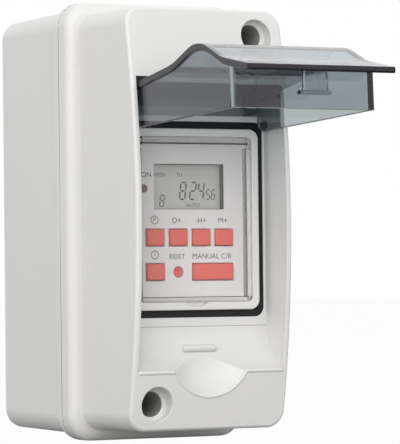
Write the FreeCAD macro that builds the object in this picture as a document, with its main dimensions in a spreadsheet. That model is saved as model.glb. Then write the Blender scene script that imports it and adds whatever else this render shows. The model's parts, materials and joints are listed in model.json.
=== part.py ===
import FreeCAD, Part
import math
import os

import Sketcher

# Two-module weatherproof wall box in pale grey plastic, with a smoked flip door
# hinged at the top of its front recess, holding a weekly digital timer on a rail.
# Frame: origin at the middle of the wall face, +X right seen from the front,
# +Z up, the front towards -Y. A depth is a distance from the wall along -Y.
# At rest the door stands open and the timer's clear lid is shut.

SIZES = {
    # enclosure base
    "wire_room": (10.8, "room for wires above and below the timer"),
    "base_draft": (0.55, "growth of each side from wall to seam"),
    "base_corner": (5.0, "outer corner radius"),
    "base_back_edge": (0.6, "chamfer at the wall face edge"),
    "base_floor": (2.0, "floor thickness"),
    "base_wall": (2.2, "side wall thickness"),
    "seam_deep": (34.6, "depth of the joint between base and cover"),
    "seam_gap": (0.3, "visible gap at the joint"),
    "tongue_thick": (1.2, "width of the sealing tongue"),
    "tongue_tall": (2.0, "height of the sealing tongue"),
    "tongue_inset": (0.5, "tongue in from the outside of the wall"),
    "knockout_wide": (20.5, "diameter of the cable knockouts"),
    "knockout_deep": (0.9, "depth of the cable knockouts"),
    "wall_hole": (4.5, "diameter of the wall screw holes"),
    # cover
    "rim_over": (1.6, "rim out over the base"),
    "rim_step": (3.15, "rim out over the cover body"),
    "rim_thick": (8.0, "rim from seam gap to its front shoulder"),
    "rim_corner": (6.6, "rim corner radius"),
    "rim_bead": (2.6, "rounding of the rim's front edge"),
    "rim_back_edge": (0.4, "chamfer of the rim's back edge"),
    "body_bulge": (5.5, "rise of the bowed front over its ends"),
    "body_corner": (4.5, "cover body corner radius"),
    "front_edge": (0.55, "chamfer of the front edge"),
    "skin": (2.0, "thickness of the cover's front"),
    "cover_wall": (1.75, "thickness of the cover's side walls"),
    "cheek": (1.55, "thickness of the cover's walls beside the recess"),
    "recess_side": (2.3, "recess floor beside the timer's front"),
    "recess_deep": (5.6, "recess floor behind the front's two ends"),
    "timer_proud": (1.3, "timer's face above the recess floor"),
    "floor_thick": (4.0, "recess floor around the window"),
    "lip_thick": (0.85, "locating lip inside the seam"),
    "lip_tall": (1.5, "locating lip height"),
    "lip_gap": (0.25, "locating lip clearance"),
    "lip_share": (0.6, "share of a side's length that carries the lip"),
    "groove_gap": (0.2, "clearance of tongue in groove"),
    "cover_seal_tall": (1.7, "height of the cover seal cord"),
    # swing pocket, ramp and thumb scoop
    "shelf_tall": (1.5, "recess floor between the window seal and the hinge pocket"),
    "pocket_wall": (1.6, "wall around the hinge pocket"),
    "pocket_mouth": (4.5, "pocket roof's front end above the front's two ends"),
    "swing_gap": (0.4, "clearance around the swinging hinge end"),
    "ramp_radius": (11.6, "radius of the concave ramp"),
    "sill_tall": (2.2, "recess floor between the window seal and the ramp"),
    "ramp_step": (0.1, "step from the recess floor to the ramp"),
    "scoop_wide": (20.6, "width of the thumb scoop at the front"),
    "scoop_ball": (12.0, "radius of the ball that forms the scoop"),
    "scoop_down": (7.3, "scoop centre below the start of the ramp"),
    "scoop_below": (2.5, "wall behind the scoop, below its lower edge"),
    "scoop_behind": (1.5, "wall behind the scoop, bend above its lower edge"),
    "scoop_back": (0.5, "wall behind the scoop, bend behind the recess floor"),
    "catch_wide": (9.3, "width of the catch ridge on the ramp"),
    "catch_tall": (1.7, "height of the catch ridge"),
    "catch_down": (5.35, "catch ridge's middle below the start of the ramp"),
    "catch_rise": (0.7, "catch ridge above the ramp"),
    # window and its seal
    "window_gap": (0.3, "cover opening around the timer's front"),
    "seal_wide": (1.65, "width of the window seal"),
    "seal_tall": (1.8, "depth of the window seal"),
    "seal_sunk": (0.2, "seal face below the recess floor"),
    "seal_gap": (0.15, "window seal from the timer's front"),
    # cover screws
    "screw_in": (8.9, "screw axis in from the side of the base"),
    "screw_beyond": (4.8, "screw axis beyond the end of the timer"),
    "counterbore_wide": (8.5, "counterbore diameter"),
    "counterbore_deep": (3.6, "counterbore depth"),
    "screw_well": (6.3, "diameter of the deep screw well"),
    "well_wall": (1.0, "wall of the screw well"),
    "well_foot": (3.0, "plastic under the screw head"),
    "screw_head": (5.8, "cover screw head diameter"),
    "screw_head_tall": (2.6, "cover screw head height"),
    "screw_shank": (3.3, "cover screw shank diameter"),
    "screw_long": (18.0, "cover screw shank length"),
    "pilot_spare": (1.0, "pilot hole below the end of the cover screw"),
    "thread_gap": (0.05, "radial clearance of a screw in its pilot hole"),
    "screw_play": (0.2, "radial clearance of a cover screw through its well's foot"),
    # door
    "door_gap": (0.25, "door plate from each side of the recess"),
    "door_long": (70.9, "length of the door plate"),
    "door_plate": (1.6, "thickness of the door plate"),
    "door_above": (7.9, "shut door's hinge end above the start of the pocket"),
    "door_proud": (3.7, "shut door's outer ends above the front's two ends"),
    "door_inset": (0.4, "side wall in from the plate edge"),
    "door_wall": (1.4, "thickness of the door's walls"),
    "door_deep": (8.8, "depth of the door's walls behind the plate ends"),
    "door_front": (62.2, "outside of the end wall from the hinge end"),
    "door_heel": (4.0, "depth of the side wall behind the pivot"),
    "door_corner": (1.0, "rounding at the corners of the end wall"),
    "foot_along": (35.0, "start of the hump from the hinge end"),
    "foot_rise": (4.35, "rise of the plate at the hump's start"),
    "foot_round": (20.0, "radius at the hump's start"),
    "crest_along": (47.7, "crest of the hump from the hinge end"),
    "crest_rise": (8.8, "rise of the crest's corner"),
    "crest_round": (12.0, "radius of the crest"),
    "heel_along": (58.6, "end of the hump from the hinge end"),
    "heel_rise": (3.35, "rise at the end of the hump"),
    "heel_round": (15.0, "radius at the end of the hump"),
    "tip_rise": (0.45, "rise of the plate at its tip"),
    "tip_round": (0.5, "rounding of the plate's ends"),
    "pivot_along": (10.2, "door pivot from the hinge end"),
    "pivot_down": (7.22, "door pivot behind the plate's ends"),
    "pivot_pin": (2.1, "diameter of the door's pivot pins"),
    "pivot_reach": (0.85, "pivot pin into the cheek"),
    "pivot_gap": (0.05, "radial clearance of the pivot pins"),
    "door_open": (93.0, "angle of the open door from shut"),
    "tab_wide": (7.0, "width of the latch tab"),
    "tab_thick": (1.2, "thickness of the latch tab"),
    "tab_along": (66.7, "latch tab from the hinge end"),
    "tab_end": (6.0, "latch tab behind the plate's ends"),
    "hook_wide": (8.4, "width of the latch hook"),
    "hook_thick": (0.6, "latch hook out from the tab"),
    "hook_tall": (0.9, "height of the latch hook"),
    # rail
    "rail_wide": (35.0, "height of the rail across its flanges"),
    "rail_channel": (27.0, "height of the rail's channel"),
    "rail_deep": (7.5, "depth of the rail"),
    "rail_thick": (1.0, "rail sheet thickness"),
    "bend_outside": (1.2, "outside radius of the rail's bends"),
    "bend_inside": (0.8, "inside radius of the rail's bends"),
    "rail_end_gap": (1.15, "rail's ends from the walls of the base"),
    "rail_stand": (3.0, "posts that lift the rail off the floor"),
    "rail_post": (7.0, "diameter of the rail posts"),
    "rail_slot": (4.2, "width of the slots in the rail"),
    "rail_slot_long": (6.3, "length of the slots in the rail"),
    "rail_hole_across": (12.0, "rail screws from the middle"),
    "rail_screw": (2.9, "rail screw shank diameter"),
    "rail_screw_head": (6.4, "rail screw head across its corners"),
    "rail_screw_head_tall": (2.2, "rail screw head height"),
    "rail_screw_long": (4.6, "rail screw shank length"),
    # timer casing
    "timer_wide": (36.0, "timer width"),
    "timer_tall": (81.0, "timer body height"),
    "hood_tall": (45.0, "height of the timer's front"),
    "timer_deep": (50.7, "timer's face in front of the rail"),
    "split_behind": (2.0, "joint in the timer's casing behind the power board"),
    "behind_rail": (4.5, "casing behind the rail's face"),
    "case_wall": (1.6, "wall of the timer's casing"),
    "hood_corner": (2.5, "corner radius of the timer's front"),
    "hood_edge": (0.25, "chamfer of the front frame's edge"),
    "frame_border": (2.0, "width of the frame around the lid"),
    "frame_corner": (1.2, "corner radius inside the frame"),
    "panel_sunk": (4.0, "panel face behind the timer's face"),
    "panel_sheet": (0.2, "thickness of the face panel"),
    "panel_gap": (0.1, "face panel from the frame"),
    "notch_radius": (5.5, "radius of the finger notch"),
    "notch_deep": (1.2, "finger notch into the frame"),
    "notch_back": (1.7, "finger notch behind the timer's face"),
    "rail_fit": (0.4, "clearance of the casing above the rail"),
    "hook_overlap": (1.3, "casing hook behind the rail flange"),
    "clip_wide": (14.0, "width of the rail clip"),
    "clip_thick": (2.0, "thickness of the rail clip"),
    "clip_gap": (0.1, "clearance around the rail clip"),
    "clip_tab": (2.6, "rail clip below the casing"),
    "clip_slot": (6.0, "width of the screwdriver slot"),
    "clip_slot_tall": (1.04, "height of the screwdriver slot"),
    "clip_slot_up": (0.65, "screwdriver slot above the clip's end"),
    # lid
    "lid_gap": (0.2, "clearance of the lid's sides in the frame"),
    "lid_foot_gap": (0.3, "clearance of the lid's lower edge in the frame"),
    "lid_thick": (1.2, "thickness of the lid's face"),
    "lid_skirt": (0.9, "thickness of the lid's skirt"),
    "lid_skirt_deep": (3.4, "skirt depth from the timer's face"),
    "lid_pivot_down": (1.0, "lid pivot below the frame's top"),
    "lid_barrel": (1.8, "diameter of the lid's hinge barrel"),
    "lid_barrel_in": (0.9, "hinge barrel in from the lid's sides"),
    "lid_pin": (1.2, "diameter of the lid's pins"),
    "lid_pin_reach": (0.8, "lid pin into the frame"),
    "lid_pin_gap": (0.05, "clearance around the lid's pins"),
    "lid_corner": (1.0, "corner radius of the lid"),
    # panel openings and keys
    "lcd_wide": (19.8, "width of the display window"),
    "lcd_tall": (11.3, "height of the display window"),
    "lcd_up": (8.2, "height of the display window's middle"),
    "key_wide": (5.2, "key width"),
    "key_tall": (4.25, "key height"),
    "key_pitch": (6.5, "key spacing"),
    "key_row": (-4.45, "height of the upper key row"),
    "key_drop": (8.55, "lower key row below the upper one"),
    "key_gap": (0.12, "clearance of a key in its opening"),
    "key_proud": (0.7, "key face above the panel"),
    "key_flange": (0.45, "flange around a key"),
    "key_flange_thick": (0.7, "thickness of the key flange"),
    "key_travel": (0.6, "travel of a key"),
    "stem_wide": (2.0, "side of the key stem"),
    "flange_gap": (0.05, "key flange behind the front wall"),
    "reset_hole": (2.9, "diameter of the reset opening"),
    "reset_wide": (2.5, "diameter of the reset key"),
    "reset_sunk": (0.4, "reset key below the panel"),
    "led_beside": (2.9, "lamp beside the display window"),
    "led_up": (7.7, "height of the lamp"),
    "led_wide": (2.0, "lamp diameter"),
    "led_hole": (2.2, "lamp opening diameter"),
    # electronics
    "board_thick": (1.6, "circuit board thickness"),
    "board_gap": (0.2, "board from the casing wall"),
    "peg_wide": (2.2, "side of the board pegs"),
    "peg_inset": (2.0, "board pegs in from the casing wall"),
    "glass_side": (1.3, "display glass beside its window"),
    "glass_end": (2.15, "display glass above and below its window"),
    "glass_thick": (2.6, "thickness of the display glass"),
    "glass_gap": (0.1, "display glass behind the front wall"),
    "zebra_tall": (2.0, "height of a contact strip"),
    "zebra_deep": (2.2, "depth of a contact strip"),
    "tact_wide": (4.3, "tact switch width"),
    "tact_tall": (1.9, "tact switch body height"),
    "tact_button": (1.8, "side of a tact switch plunger"),
    "tact_play": (0.1, "plunger left free at full travel"),
    "relay_room": (2.7, "room behind the relay"),
    "power_board_gap": (0.9, "power board from the casing's ends"),
    "post_wide": (3.6, "side of the power board posts"),
    "post_side": (4.0, "power board posts in from the timer's sides"),
    "post_end": (4.5, "power board posts in from the timer's ends"),
    "relay_wide": (15.4, "relay width"),
    "relay_tall": (18.6, "relay height"),
    "relay_deep": (15.2, "relay depth"),
    "relay_mid": (-9.0, "height of the relay's middle"),
    "dropper_wide": (18.0, "dropper capacitor width"),
    "dropper_tall": (8.5, "dropper capacitor height"),
    "dropper_deep": (14.0, "dropper capacitor depth"),
    "dropper_mid": (8.0, "height of the dropper capacitor"),
    "filter_wide": (8.0, "filter capacitor diameter"),
    "filter_deep": (11.5, "filter capacitor length"),
    "filter_across": (-8.0, "filter capacitor from the middle"),
    "filter_up": (22.0, "height of the filter capacitor"),
    "cell_wide": (11.6, "backup cell diameter"),
    "cell_thick": (5.4, "backup cell thickness"),
    "cell_up": (9.0, "height of the backup cell"),
    "chip_wide": (10.0, "controller chip width"),
    "chip_thick": (1.5, "controller chip thickness"),
    "chip_down": (-9.0, "height of the controller chip"),
    "header_wide": (15.0, "width of the board header"),
    "header_tall": (2.5, "height of the board header"),
    "header_up": (-17.5, "height of the board header's middle"),
    "pin_wide": (0.7, "side of a header pin"),
    "pin_pitch": (2.5, "spacing of the header pins"),
    "clamp_wide": (6.6, "terminal clamp width"),
    "clamp_tall": (7.5, "terminal clamp height"),
    "clamp_deep": (9.2, "terminal clamp depth"),
    "clamp_in": (7.0, "terminals in from the timer's ends"),
    "clamp_pitch": (11.0, "spacing of the terminals"),
    "wire_hole": (4.0, "wire opening of a terminal"),
    "wire_above": (3.2, "middle of the wire opening above the board"),
    "wire_way_gap": (0.5, "casing's wire opening around the terminal's"),
    "clamp_screw_proud": (1.6, "terminal screw above its cage"),
    "clamp_screw_gap": (0.5, "terminal screw's end into the wire's opening"),
    "shoulder_hole": (5.4, "side of the screwdriver openings in the shoulders"),
}

doc = FreeCAD.newDocument("wall_box_timer")
sheet = doc.addObject("Spreadsheet::Sheet", "Sizes")


class Size:
    """A number that also carries the sheet formula it was worked out by."""

    def __init__(self, number, formula):
        self.number = number
        self.formula = formula

    def __neg__(self):
        return Size(-self.number, f"(-1 * {self.formula})")

    def __add__(self, other):
        return Size(self.number + value(other), f"({self.formula} + {text(other)})")

    def __sub__(self, other):
        return Size(self.number - value(other), f"({self.formula} - {text(other)})")

    def __mul__(self, other):
        return Size(self.number * value(other), f"({self.formula} * {text(other)})")

    def __truediv__(self, other):
        return Size(self.number / value(other), f"({self.formula} / {text(other)})")

    def __rsub__(self, other):
        return Size(value(other) - self.number, f"({text(other)} - {self.formula})")

    __radd__ = __add__
    __rmul__ = __mul__


def value(size):
    """The number of a Size, or the number itself."""
    return size.number if isinstance(size, Size) else float(size)


def text(size):
    """The formula of a Size, or a plain number written out."""
    return size.formula if isinstance(size, Size) else f"{float(size):.9g}"


def root(size):
    """Square root of a Size."""
    return Size(math.sqrt(value(size)), f"sqrt({text(size)})")


class Sheet:
    """The driving sizes, by name, each tied to its cell in the spreadsheet."""


for row, (name, (number, about)) in enumerate(SIZES.items(), start=1):
    sheet.set(f"A{row}", about)
    sheet.set(f"B{row}", str(number))
    sheet.setAlias(f"B{row}", name)
    setattr(Sheet, name, Size(float(number), f"Sizes.{name}"))
doc.recompute()
s = Sheet


def bind(thing, prop, size):
    """Give a property its value, and its sheet formula when it has one."""
    setattr(thing, prop, value(size))
    if isinstance(size, Size):
        thing.setExpression(prop, size.formula)


def place(thing, prop, x, y, z, rotation=None):
    """Put a feature at x, y, z, each coordinate tied to the sheet."""
    base = FreeCAD.Vector(value(x), value(y), value(z))
    setattr(thing, prop, FreeCAD.Placement(base, rotation or FreeCAD.Rotation()))
    for axis, size in zip("xyz", (x, y, z)):
        if isinstance(size, Size):
            thing.setExpression(f"{prop}.Base.{axis}", size.formula)


def middle(edge):
    return edge.valueAt((edge.FirstParameter + edge.LastParameter) / 2)


def straight_along(edge, axis):
    """Whether an edge is straight and runs along X, Y or Z, draft allowed for."""
    if edge.Curve.TypeId != "Part::GeomLine":
        return False
    return abs(getattr(edge.Curve.Direction, axis.lower())) > 0.998


class Corner:
    """A corner of an outline: its place, its rounding, or the arc that leaves it.

    bow is the radius of an arc from this corner to the next one, positive where
    the arc turns anticlockwise in the sketch and negative where it turns clockwise.
    """

    def __init__(self, across, up, rounding=None, bow=None):
        self.across = across
        self.up = up
        self.rounding = rounding
        self.bow = bow

    def point(self):
        return FreeCAD.Vector(value(self.across), value(self.up), 0)


def arc_between(start, end, bow):
    """The lesser or greater arc from start to end that turns the way bow says."""
    chord = end - start
    radius = abs(bow)
    half = chord.Length / 2
    away = math.sqrt(max(radius * radius - half * half, 0.0))
    left = FreeCAD.Vector(-chord.y, chord.x, 0).normalize()
    side = 1 if bow > 0 else -1
    centre = (start + end) / 2 + left * (away * side)
    first, last = (start, end) if bow > 0 else (end, start)
    low = math.atan2(first.y - centre.y, first.x - centre.x)
    high = math.atan2(last.y - centre.y, last.x - centre.x)
    circle = Part.Circle(centre, FreeCAD.Vector(0, 0, 1), radius)
    return Part.ArcOfCircle(circle, low, high if high > low else high + 2 * math.pi)


def hold_point(sketch, geometry, which, corner):
    """Dimension one sketch point from the origin, both ways."""
    for kind, size in (("DistanceX", corner.across), ("DistanceY", corner.up)):
        spot = Sketcher.Constraint(kind, -1, 1, geometry, which, value(size))
        index = sketch.addConstraint(spot)
        if isinstance(size, Size):
            sketch.setExpression(f"Constraints[{index}]", size.formula)


def hold_radius(sketch, geometry, radius):
    index = sketch.addConstraint(Sketcher.Constraint("Radius", geometry, value(radius)))
    if isinstance(radius, Size):
        sketch.setExpression(f"Constraints[{index}]", radius.formula)


def outline(sketch, corners):
    """Draw and dimension one closed outline of lines, bows and rounded corners."""
    count = len(corners)
    points = [corner.point() for corner in corners]
    leave, arrive = list(points), list(points)
    turns = {}
    for i, corner in enumerate(corners):
        if corner.rounding is None:
            continue
        back = (points[i - 1] - points[i]).normalize()
        ahead = (points[(i + 1) % count] - points[i]).normalize()
        angle = math.pi - back.getAngle(ahead)
        reach = value(corner.rounding) * math.tan(angle / 2)
        arrive[i] = points[i] + back * reach
        leave[i] = points[i] + ahead * reach
        side = 1 if back.cross(ahead).z < 0 else -1
        turns[i] = (value(corner.rounding) * side, side)
    sides = []
    for i, corner in enumerate(corners):
        start, end = leave[i], arrive[(i + 1) % count]
        if corner.bow is None:
            sides.append((sketch.addGeometry(Part.LineSegment(start, end), False), 1, 2))
            continue
        arc = sketch.addGeometry(arc_between(start, end, value(corner.bow)), False)
        sides.append((arc, 1, 2) if value(corner.bow) > 0 else (arc, 2, 1))
        radius = corner.bow if value(corner.bow) > 0 else -corner.bow
        hold_radius(sketch, arc, radius)
    for i, corner in enumerate(corners):
        before, after = sides[i - 1], sides[i]
        if i not in turns:
            join = Sketcher.Constraint("Coincident", before[0], before[2], after[0], after[1])
            sketch.addConstraint(join)
            hold_point(sketch, after[0], after[1], corner)
            continue
        bow, side = turns[i]
        arc = sketch.addGeometry(arc_between(arrive[i], leave[i], bow), False)
        first, last = (1, 2) if side > 0 else (2, 1)
        ghost = sketch.addGeometry(Part.Point(points[i]), True)
        for line in (before[0], after[0]):
            sketch.addConstraint(Sketcher.Constraint("PointOnObject", ghost, 1, line))
        for line, end, spot in ((before[0], before[2], first), (after[0], after[1], last)):
            sketch.addConstraint(Sketcher.Constraint("Tangent", line, end, arc, spot))
        hold_radius(sketch, arc, corner.rounding)
        hold_point(sketch, ghost, 1, corner)


def rectangle(wide, tall, rounding=None):
    """Corners of an upright rectangle about the middle."""
    x, z = wide / 2, tall / 2
    return [Corner(sx * x, sz * z, rounding) for sx, sz in ((-1, -1), (1, -1), (1, 1), (-1, 1))]


PLANES = {"side": "YZ_Plane", "front": "XZ_Plane", "top": "XY_Plane"}
TURN = {
    "X": FreeCAD.Rotation(FreeCAD.Vector(0, 1, 0), 90),
    "Y": FreeCAD.Rotation(FreeCAD.Vector(1, 0, 0), 90),
    "Z": FreeCAD.Rotation(),
}


class Piece:
    """One separate piece of the product, built feature by feature in a body."""

    made = []

    def __init__(self, label):
        self.body = doc.addObject("PartDesign::Body", label)
        self.body.Label = label
        self.volume = 0.0
        Piece.made.append(self)

    def feature(self, kind, job):
        return self.body.newObject(f"PartDesign::{kind}", f"{self.body.Name}_{job}")

    def settle(self, step, cuts):
        """Work the feature out and see that it added or removed material."""
        doc.recompute()
        if "Invalid" in step.State or "Error" in step.State:
            raise RuntimeError(f"{step.Label} failed")
        volume = self.body.Shape.Volume
        if (volume < self.volume) is not cuts and abs(volume - self.volume) > 1e-9:
            raise RuntimeError(f"{step.Label} went the wrong way")
        if abs(volume - self.volume) <= 1e-9:
            raise RuntimeError(f"{step.Label} changed nothing")
        if not self.body.Shape.isValid():
            raise RuntimeError(f"{step.Label} leaves a bad shape")
        self.volume = volume

    def block(self, job, x, deep, z, cut=False):
        """A box between two values each of x, depth and z."""
        step = self.feature("SubtractiveBox" if cut else "AdditiveBox", job)
        bind(step, "Length", x[1] - x[0])
        bind(step, "Width", deep[1] - deep[0])
        bind(step, "Height", z[1] - z[0])
        place(step, "Placement", x[0], -deep[1], z[0])
        self.settle(step, cut)

    def post(self, job, wide, span, at, cut=False):
        """A square bar by depth, through the point at."""
        half = wide / 2
        x, z = at
        self.block(job, (x - half, x + half), span, (z - half, z + half), cut)

    def rod(self, job, wide, along, span, at, cut=False):
        """A cylinder along X, Y (by depth) or Z, through the point at."""
        step = self.feature("SubtractiveCylinder" if cut else "AdditiveCylinder", job)
        bind(step, "Radius", wide / 2)
        bind(step, "Height", span[1] - span[0])
        spots = {
            "X": (span[0], -at[0], at[1]),
            "Y": (at[0], -span[0], at[1]),
            "Z": (at[0], -at[1], span[0]),
        }
        place(step, "Placement", *spots[along], rotation=TURN[along])
        self.settle(step, cut)

    def hexagon(self, job, wide, span, at):
        """A six-sided bar by depth, wide over its corners, through the point at."""
        step = self.feature("AdditivePrism", job)
        step.Polygon = 6
        bind(step, "Circumradius", wide / 2)
        bind(step, "Height", span[1] - span[0])
        place(step, "Placement", at[0], -span[0], at[1], rotation=TURN["Y"])
        self.settle(step, False)

    def ball_cut(self, job, radius, x, deep, z):
        step = self.feature("SubtractiveSphere", job)
        bind(step, "Radius", radius)
        place(step, "Placement", x, -deep, z)
        self.settle(step, True)

    def wedge(self, job, front, back, deep, cut=False):
        """A drafted box: front and back are (width, height), deep is (back, front)."""
        step = self.feature("SubtractiveWedge" if cut else "AdditiveWedge", job)
        bind(step, "Xmin", -front[0] / 2)
        bind(step, "Xmax", front[0] / 2)
        bind(step, "Zmin", -front[1] / 2)
        bind(step, "Zmax", front[1] / 2)
        bind(step, "X2min", -back[0] / 2)
        bind(step, "X2max", back[0] / 2)
        bind(step, "Z2min", -back[1] / 2)
        bind(step, "Z2max", back[1] / 2)
        bind(step, "Ymin", -deep[1])
        bind(step, "Ymax", -deep[0])
        self.settle(step, cut)

    def profile(self, job, plane, outlines, span, cut=False):
        """Extrude outlines, drawn on a plane, from the first of span to the last."""
        planes = {part.Role: part for part in self.body.Origin.OriginFeatures}
        sketch = self.body.newObject("Sketcher::SketchObject", f"{self.body.Name}_{job}_sketch")
        sketch.AttachmentSupport = (planes[PLANES[plane]], [""])
        sketch.MapMode = "FlatFace"
        place(sketch, "AttachmentOffset", 0, 0, span[0])
        for corners in outlines:
            outline(sketch, corners)
        doc.recompute()
        if sketch.solve() != 0:
            raise RuntimeError(f"{sketch.Label} does not solve")
        step = self.feature("Pocket" if cut else "Pad", job)
        step.Profile = sketch
        step.Reversed = cut
        bind(step, "Length", span[1] - span[0])
        self.settle(step, cut)

    def soften(self, job, kind, size, names):
        """Fillet or chamfer named edges or faces of the piece as it stands."""
        if not names:
            raise RuntimeError(f"{self.body.Label} {job}: nothing to work on")
        below = self.body.Tip
        step = self.feature(kind, job)
        step.Base = (below, names)
        bind(step, "Radius" if kind == "Fillet" else "Size", size)
        doc.recompute()
        if "Invalid" in step.State or "Error" in step.State:
            raise RuntimeError(f"{step.Label} failed")
        self.volume = self.body.Shape.Volume

    def edges(self, chosen):
        found = enumerate(self.body.Shape.Edges, start=1)
        return [f"Edge{i}" for i, edge in found if chosen(edge)]

    def round_corners(self, job, radius, x, z, near=0.4):
        """Round the edges along the depth whose middles lie at +-x, +-z."""

        def chosen(edge):
            if not straight_along(edge, "Y"):
                return False
            at = middle(edge)
            return abs(abs(at.x) - value(x)) < near and abs(abs(at.z) - value(z)) < near

        self.soften(job, "Fillet", radius, self.edges(chosen))

    def soften_face(self, job, size, deep, kind="Fillet"):
        """Round or chamfer every edge of the flat face that lies at one depth."""
        names = []
        for i, face in enumerate(self.body.Shape.Faces, start=1):
            box = face.BoundBox
            if box.YLength < 1e-6 and abs(box.YMin + value(deep)) < 1e-6:
                names.append(f"Face{i}")
        self.soften(job, kind, size, names)


def both(half):
    """The span from minus to plus a half width."""
    return (-half, half)


# Places worked out from the sizes, shared by the pieces that meet there. The box
# is sized round the timer: its width, height and depth follow from what it holds.
recess_wide = s.timer_wide + s.recess_side * 2
body_wide = recess_wide + s.cheek * 2
rim_wide = body_wide + s.rim_step * 2
seam_wide = rim_wide - s.rim_over * 2
inner_wide = seam_wide - s.base_wall * 2
inner_tall = s.timer_tall + s.wire_room * 2
seam_tall = inner_tall + s.base_wall * 2
rim_tall = seam_tall + s.rim_over * 2
body_tall = rim_tall - s.rim_step * 2
base_wide = seam_wide - s.base_draft * 2
base_tall = seam_tall - s.base_draft * 2
tongue_wide = seam_wide - s.tongue_inset * 2
tongue_tall = seam_tall - s.tongue_inset * 2
tongue_corner = s.base_corner - s.tongue_inset
tongue_end = s.seam_deep + s.tongue_tall

rail_foot = s.base_floor + s.rail_stand
rail_face = rail_foot + s.rail_deep
rail_holes = (("right", s.rail_hole_across), ("left", -s.rail_hole_across))
hook_front = rail_face - s.rail_thick - s.clip_gap * 2
case_back = rail_face - s.behind_rail
timer_front = rail_face + s.timer_deep
recess_floor = timer_front - s.timer_proud
body_ends = recess_floor + s.recess_deep
apex = body_ends + s.body_bulge
front_radius = (body_tall * body_tall / 4 + s.body_bulge * s.body_bulge) / (s.body_bulge * 2)
front_centre = apex - front_radius
rim_back = s.seam_deep + s.seam_gap
rim_front = rim_back + s.rim_thick

hood = (s.timer_wide / 2, s.hood_tall / 2)
window_half = (hood[0] + s.window_gap, hood[1] + s.window_gap)
seal_inner = (hood[0] + s.seal_gap, hood[1] + s.seal_gap)
seal_outer = (seal_inner[0] + s.seal_wide, seal_inner[1] + s.seal_wide)
seal_face = recess_floor - s.seal_sunk
pocket_floor = seal_outer[1] + s.shelf_tall
ramp_top = -seal_outer[1] - s.sill_tall
door_plane = body_ends + s.door_proud
door_top = pocket_floor + s.door_above
door_wide = recess_wide - s.door_gap * 2
pivot_deep = door_plane - s.pivot_down
pivot_up = door_top - s.pivot_along

frame = (hood[0] - s.frame_border, hood[1] - s.frame_border)
lid_pivot = (timer_front - s.lid_barrel / 2, frame[1] - s.lid_pivot_down)
panel_face = timer_front - s.panel_sunk
panel_back = panel_face - s.panel_sheet
front_wall_back = panel_back - s.case_wall
glass_front = front_wall_back - s.glass_gap
glass_back = glass_front - s.glass_thick
board_front = glass_back - s.zebra_deep
board_back = board_front - s.board_thick
flange_front = front_wall_back - s.flange_gap
flange_back = flange_front - s.key_flange_thick
key_columns = [s.key_pitch * (i - 1.5) for i in range(4)]
lower_row = s.key_row - s.key_drop
wide_key_middle = (key_columns[2] + key_columns[3]) / 2
reset_at = (key_columns[1], lower_row)
led_at = (-(s.lcd_wide / 2 + s.led_beside), s.led_up)

case_inner = (hood[0] - s.case_wall, s.timer_tall / 2 - s.case_wall)
hood_inner = (case_inner[0], hood[1] - s.case_wall)
power_back = rail_face + s.case_wall + s.relay_room + s.relay_deep
power_front = power_back + s.board_thick
split_deep = power_back - s.split_behind
clamp_up = s.timer_tall / 2 - s.clamp_in
clamps_at = [(s.clamp_pitch * i, -clamp_up) for i in (-1, 0, 1)]
clamps_at += [(s.clamp_pitch * i / 2, clamp_up) for i in (-1, 1)]
clamp_top = power_front + s.clamp_deep
wire_deep = power_front + s.wire_above
shoulder_inner = clamp_top + s.clamp_screw_proud
shoulder_deep = shoulder_inner + s.case_wall

screw_across = seam_wide / 2 - s.screw_in
screw_up = s.timer_tall / 2 + s.screw_beyond
cover_screws_at = (("right", screw_across, screw_up), ("left", -screw_across, -screw_up))
well_outer = s.screw_well + s.well_wall * 2
well_seat = rim_back + s.well_foot


def front_at(height, inset=0):
    """Depth of the bowed front, or of a surface inset behind it, at a height."""
    reach = front_radius - inset
    return front_centre + root(reach * reach - height * height)


def base_box():
    """Drafted back half of the box, with its tongue, screw bosses and rail posts."""
    piece = Piece("base_box")
    back = (base_wide, base_tall)
    piece.wedge("shell", (seam_wide, seam_tall), back, (0 * s.seam_deep, s.seam_deep))
    mid_x = (base_wide + s.base_draft) / 2
    mid_z = (base_tall + s.base_draft) / 2
    piece.round_corners("corners", s.base_corner, mid_x, mid_z)
    piece.soften_face("back_edge", s.base_back_edge, 0, "Chamfer")
    inner_back = (base_wide - s.base_wall * 2, base_tall - s.base_wall * 2)
    piece.wedge("hollow", (inner_wide, inner_tall), inner_back, (s.base_floor, s.seam_deep), cut=True)
    inside = s.base_corner - s.base_wall
    piece.round_corners("inner_corners", inside, mid_x - s.base_wall, mid_z - s.base_wall)
    tongue = seal_ring(tongue_wide, tongue_tall, s.tongue_thick, tongue_corner)
    piece.profile("tongue", "front", tongue, (s.seam_deep - s.tongue_inset, tongue_end))
    for side, x, z in cover_screws_at:
        piece.post(f"boss_{side}", well_outer, (s.base_floor / 2, s.seam_deep), (x, z))
        pilot = s.screw_shank + s.thread_gap * 2
        bottom = well_seat - s.screw_long - s.pilot_spare
        piece.rod(f"pilot_{side}", pilot, "Y", (bottom, s.seam_deep + 1), (x, z), cut=True)
        through = (-1 * s.base_floor, s.base_floor * 2)
        piece.rod(f"wall_hole_{side}", s.wall_hole, "Y", through, (-x, z), cut=True)
    for side, x in rail_holes:
        piece.post(f"rail_post_{side}", s.rail_post, (s.base_floor / 2, rail_foot), (x, 0))
        pilot = s.rail_screw + s.thread_gap * 2
        bottom = rail_foot + s.rail_thick - s.rail_screw_long - s.thread_gap
        piece.rod(f"rail_pilot_{side}", pilot, "Y", (bottom, rail_foot + 1), (x, 0), cut=True)
    wall_face = (base_tall + s.base_draft) / 2
    for side, sign in (("top", 1), ("bottom", -1)):
        up = sorted((sign * (wall_face - s.knockout_deep), sign * (wall_face + 1)), key=value)
        piece.rod(f"knockout_{side}", s.knockout_wide, "Z", up, (0, s.seam_deep / 2), cut=True)


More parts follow.
